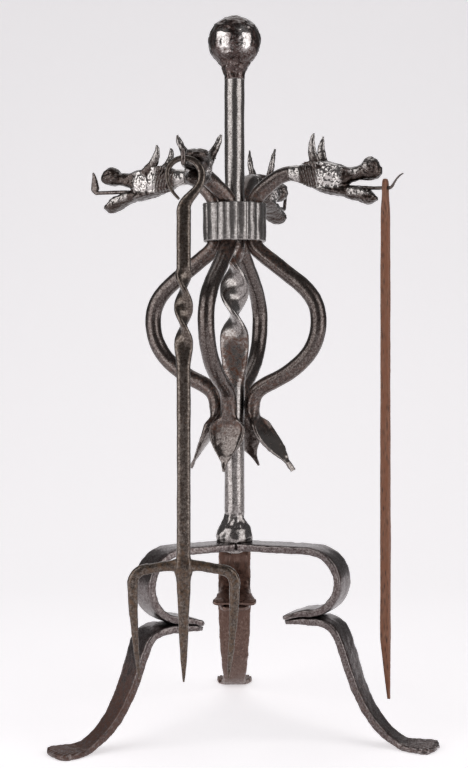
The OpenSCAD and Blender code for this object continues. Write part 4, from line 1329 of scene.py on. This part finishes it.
# %% Measures of the fork, in a frame with the tongue at its middle
FORK_L = 467
HOOK_BORE_R = 12.8
HOOK_MID_Z = TONGUE_R["front"] + 0.3 - HOOK_BORE_R
FORK_RING, PRONG_RING = 40, 32
FORK_HALF_W, FORK_HALF_T, FORK_HALF_BAR = 6.5, 4.5, 6.25
FORK_TWIST_HALF_W, FORK_TWIST_HALF_T = 8.6, 3.3
END_W, CROWN_W, THROAT_W = 2.1, 2.7, 3.6
TWIST_TOP, TWIST_FOOT = HOOK_MID_Z - 84, HOOK_MID_Z - 152
PRONG_Z = 105 - FORK_L
PRONG_DROP, PRONG_SPREAD, PRONG_R = 3.5, 92, 4.5
CORNER_R = 13
DOWN = -UP


# %% The fork's middle bar
def fork_stations():
    """Place, direction, half width in the hook's plane, half thickness along the tongue, turn, power."""
    end_r, throat_r = HOOK_BORE_R + END_W, HOOK_BORE_R + THROAT_W
    hook_end = [out(-end_r * 0.27, HOOK_MID_Z - 21.5), out(-end_r * 0.68, HOOK_MID_Z - 15.5),
                out(-end_r, HOOK_MID_Z - 9), out(-end_r, HOOK_MID_Z)]
    throat = [out(throat_r, HOOK_MID_Z), out(throat_r, HOOK_MID_Z - 15), out(0, HOOK_MID_Z - 19),
              out(0, HOOK_MID_Z - 32)]
    found = []
    for t, place, way in along(hook_end, 20):
        found.append((place, way, 1.2 + (END_W - 1.2) * t, 1.6 + 1.4 * t, 0, 2.6))
    for a in np.linspace(180, 0, 49):
        wide = table(a, [(0, THROAT_W), (90, CROWN_W), (180, END_W)])
        thick = table(a, [(0, 4.2), (90, 4), (180, 3)])
        found.append((*arc(out(0, HOOK_MID_Z), HOOK_BORE_R + wide, a), wide, thick, 0, 2.8))
    for t, place, way in along(throat, 26, first=False, last=True):
        wide = THROAT_W + (FORK_HALF_W - THROAT_W) * t**2
        found.append((place, way, wide, 4.2 + 0.3 * t, 0, 2.8 + 0.2 * t))
    for z in np.linspace(HOOK_MID_Z - 36, TWIST_TOP + 3, 20):
        found.append((out(0, z), DOWN, FORK_HALF_W, FORK_HALF_T, 0, 3.0))
    for t in np.linspace(0, 1, 70):
        swell = 1 - max(0, 1 - 2 * t) ** 6
        wide = FORK_HALF_W + (FORK_TWIST_HALF_W - FORK_HALF_W) * swell
        thick = FORK_HALF_T + (FORK_TWIST_HALF_T - FORK_HALF_T) * swell
        turn = -360 * table(t, [(0, 0), (1, 1)], 0.05)
        found.append((out(0, TWIST_TOP + (TWIST_FOOT - TWIST_TOP) * t), DOWN, wide, thick, turn, 3.0))
    for z in np.linspace(TWIST_FOOT - 2.5, PRONG_Z + 16, 72):
        t = float(fade(TWIST_FOOT - z, 0, 22))
        wide = FORK_TWIST_HALF_W + (FORK_HALF_BAR - FORK_TWIST_HALF_W) * t
        thick = FORK_TWIST_HALF_T + (FORK_HALF_T - FORK_TWIST_HALF_T) * t
        found.append((out(0, z), DOWN, wide, thick, 0, 2.8))
    for z in np.linspace(PRONG_Z + 14.5, PRONG_Z - 22, 34):
        weld = 2.4 * math.exp(-(((z - PRONG_Z + 3) / 7) ** 2))
        found.append((out(0, z), DOWN, FORK_HALF_BAR + weld, FORK_HALF_T + 0.25 * weld, 0, 2.8))
    for t in np.linspace(0, 1, 60):
        z = PRONG_Z - 24 + (24 - FORK_L - PRONG_Z) * t
        wide = table(t, [(0, FORK_HALF_BAR), (0.25, 5.0), (0.75, 2.9), (0.96, 1.3), (1, 0.7)], 0.02)
        found.append((out(0, z), DOWN, wide, wide * 0.8, 0, 2.8))
    return found


stations = []
for place, way, wide, thick, turn, power in fork_stations():
    stations.append((place, way, np.cross(Y, way), spun(oval(wide, thick, FORK_RING, power), turn)))
verts, faces = skin(sweep(stations))
from_bore = np.hypot(verts[:, 0], verts[:, 2] - HOOK_MID_Z) - HOOK_BORE_R
free = np.maximum(fade(from_bore, 0.3, 3), fade(HOOK_MID_Z - 2 - verts[:, 2], 0, 4))
verts = uneven(verts, faces, 0.4, 14, 101, stretch=(1, 1, 0.4), where=free)
verts = uneven(verts, faces, 0.1, 3, 102, where=free)
FORK_TURN = PIVOT_WAYS["fork"] - 270
make_piece("hooked_fork", turned(verts, FORK_TURN) + PIVOTS["fork"], faces, fork_iron, body="fork",
           replaces=["fork_shaft"], stained=0.5 * fade(PRONG_Z + 40 - verts[:, 2], 0, 40))


# %% The outer prongs
def outer_prong(hand):
    half = PRONG_SPREAD / 2
    corner_z = PRONG_Z - PRONG_DROP - CORNER_R
    shoulder = [out(FORK_HALF_BAR - 1, PRONG_Z), out(half * 0.4, PRONG_Z),
                out(half - CORNER_R - 12, PRONG_Z - 2), out(half - CORNER_R, PRONG_Z - PRONG_DROP)]
    stations = []
    for _, place, way in along(shoulder, 26):
        weld = 2.2 * math.exp(-(place[0] - FORK_HALF_BAR + 1) / 4)
        section = oval(PRONG_R * 0.9 + 0.3 * weld, PRONG_R + weld, PRONG_RING, 2.6)
        stations.append((place, way, Y, section))
    r = PRONG_R * 1.1
    for a in np.linspace(90, 0, 26):
        place, way = arc(out(half - CORNER_R, corner_z), CORNER_R, a)
        stations.append((place, way, Y, oval(r * 0.9, r, PRONG_RING, 2.8)))
    leg = [out(half, corner_z), out(half, corner_z - 22), out(half - 1.5, PRONG_Z - 60),
           out(half - 6, -FORK_L + 2)]
    for t, place, way in along(leg, 56, first=False, last=True):
        r = table(t, [(0, PRONG_R * 1.08), (0.4, PRONG_R * 0.86), (0.8, 2.5), (0.96, 1.2), (1, 0.6)], 0.03)
        stations.append((place, way, Y, oval(r * 0.9, r, PRONG_RING, 2.8)))
    verts, faces = skin(sweep(stations))
    if hand < 0:
        verts = verts * np.array([-1, 1, 1])
        faces = [face[::-1] for face in faces]
    return verts, faces


verts, faces = joined([outer_prong(1), outer_prong(-1)])
verts = uneven(verts, faces, 0.4, 9, 103)
verts = uneven(verts, faces, 0.12, 2.6, 104)
make_piece("fork_prong_pair", turned(verts, FORK_TURN) + PIVOTS["fork"], faces, fork_iron, body="fork",
           replaces=["fork_side_prongs"], stained=np.full(len(verts), 0.5))

# %% [markdown]
# ## The skewer
#
# The skewer is a square bar, rusted a warm brown. Its top is flattened and pierced, and its foot runs out to
# a point on one side. The bar is swept, and its eye is then cut with a true cylinder, because the skewer
# swings on the tongue that goes through it.

# %% The skewer's mesh
SKEWER_L, SKEWER_HALF, SKEWER_POINT_L = 503, 4.75, 56
SKEWER_RING, HOLE_RING = 40, 96
EYE_R, EYE_T = 5, 4.5
EYE_DROP = EYE_R - TONGUE_R["right"] - 0.3
SKEWER_TOP = EYE_R - EYE_DROP + 6.5
ALONG_TONGUE = [(0, EYE_T * 0.36), (2, EYE_T / 2), (16, EYE_T / 2), (28, EYE_T * 0.8),
                (38, SKEWER_HALF * 0.9), (SKEWER_L - SKEWER_POINT_L, SKEWER_HALF), (SKEWER_L, 1.3)]
ACROSS_TONGUE = [(0, 3), (2, 6), (7, 8), (16, 8), (28, 6), (38, SKEWER_HALF * 0.9),
                 (SKEWER_L - SKEWER_POINT_L, SKEWER_HALF), (SKEWER_L, 1.3)]
POINT_LEAN = [(SKEWER_L - SKEWER_POINT_L, 0), (SKEWER_L, SKEWER_HALF - 1.5)]


def cut_round(verts, faces, centre, radius, length):
    """The mesh with a true round hole along X through centre."""
    ring = disc(radius, HOLE_RING)
    rod = skin(sweep([(centre + s * length / 2 * X, X, Y, ring) for s in (-1, 1)]))
    blank = new_object("blank", new_mesh("blank", verts, faces))
    cutter = new_object("cutter", new_mesh("cutter", *rod))
    cut = blank.modifiers.new("cut", "BOOLEAN")
    cut.operation, cut.solver, cut.object = "DIFFERENCE", "EXACT", cutter
    points, polygons = reshaped(blank)
    discard(cutter)
    return points, polygons


stations = []
drops = np.concatenate([np.linspace(0, 3, 5), np.arange(4, 44, 1.5), np.linspace(45, SKEWER_L, 200)])
for drop in drops:
    a, b = table(drop, ALONG_TONGUE, 0.6), table(drop, ACROSS_TONGUE, 0.6)
    power = 6 if drop < SKEWER_L - SKEWER_POINT_L else 4
    place = out(table(drop, POINT_LEAN), SKEWER_TOP - drop)
    stations.append((place, DOWN, X, slab(a, b, SKEWER_RING, power)))
verts, faces = skin(sweep(stations))
below_eye = fade(SKEWER_TOP - 22 - verts[:, 2], 0, 10)
verts = uneven(verts, faces, 0.3, 14, 111, stretch=(1, 1, 0.3), where=below_eye)
verts = uneven(verts, faces, 0.1, 2.6, 112, where=0.25 + 0.75 * below_eye)
verts, faces = cut_round(verts, faces, out(0, -EYE_DROP), EYE_R, 40)
make_piece("square_skewer", turned(verts, PIVOT_WAYS["skewer"]) + PIVOTS["skewer"], faces, rusty_iron,
           body="skewer", slot="rusty_iron", replaces=["skewer"])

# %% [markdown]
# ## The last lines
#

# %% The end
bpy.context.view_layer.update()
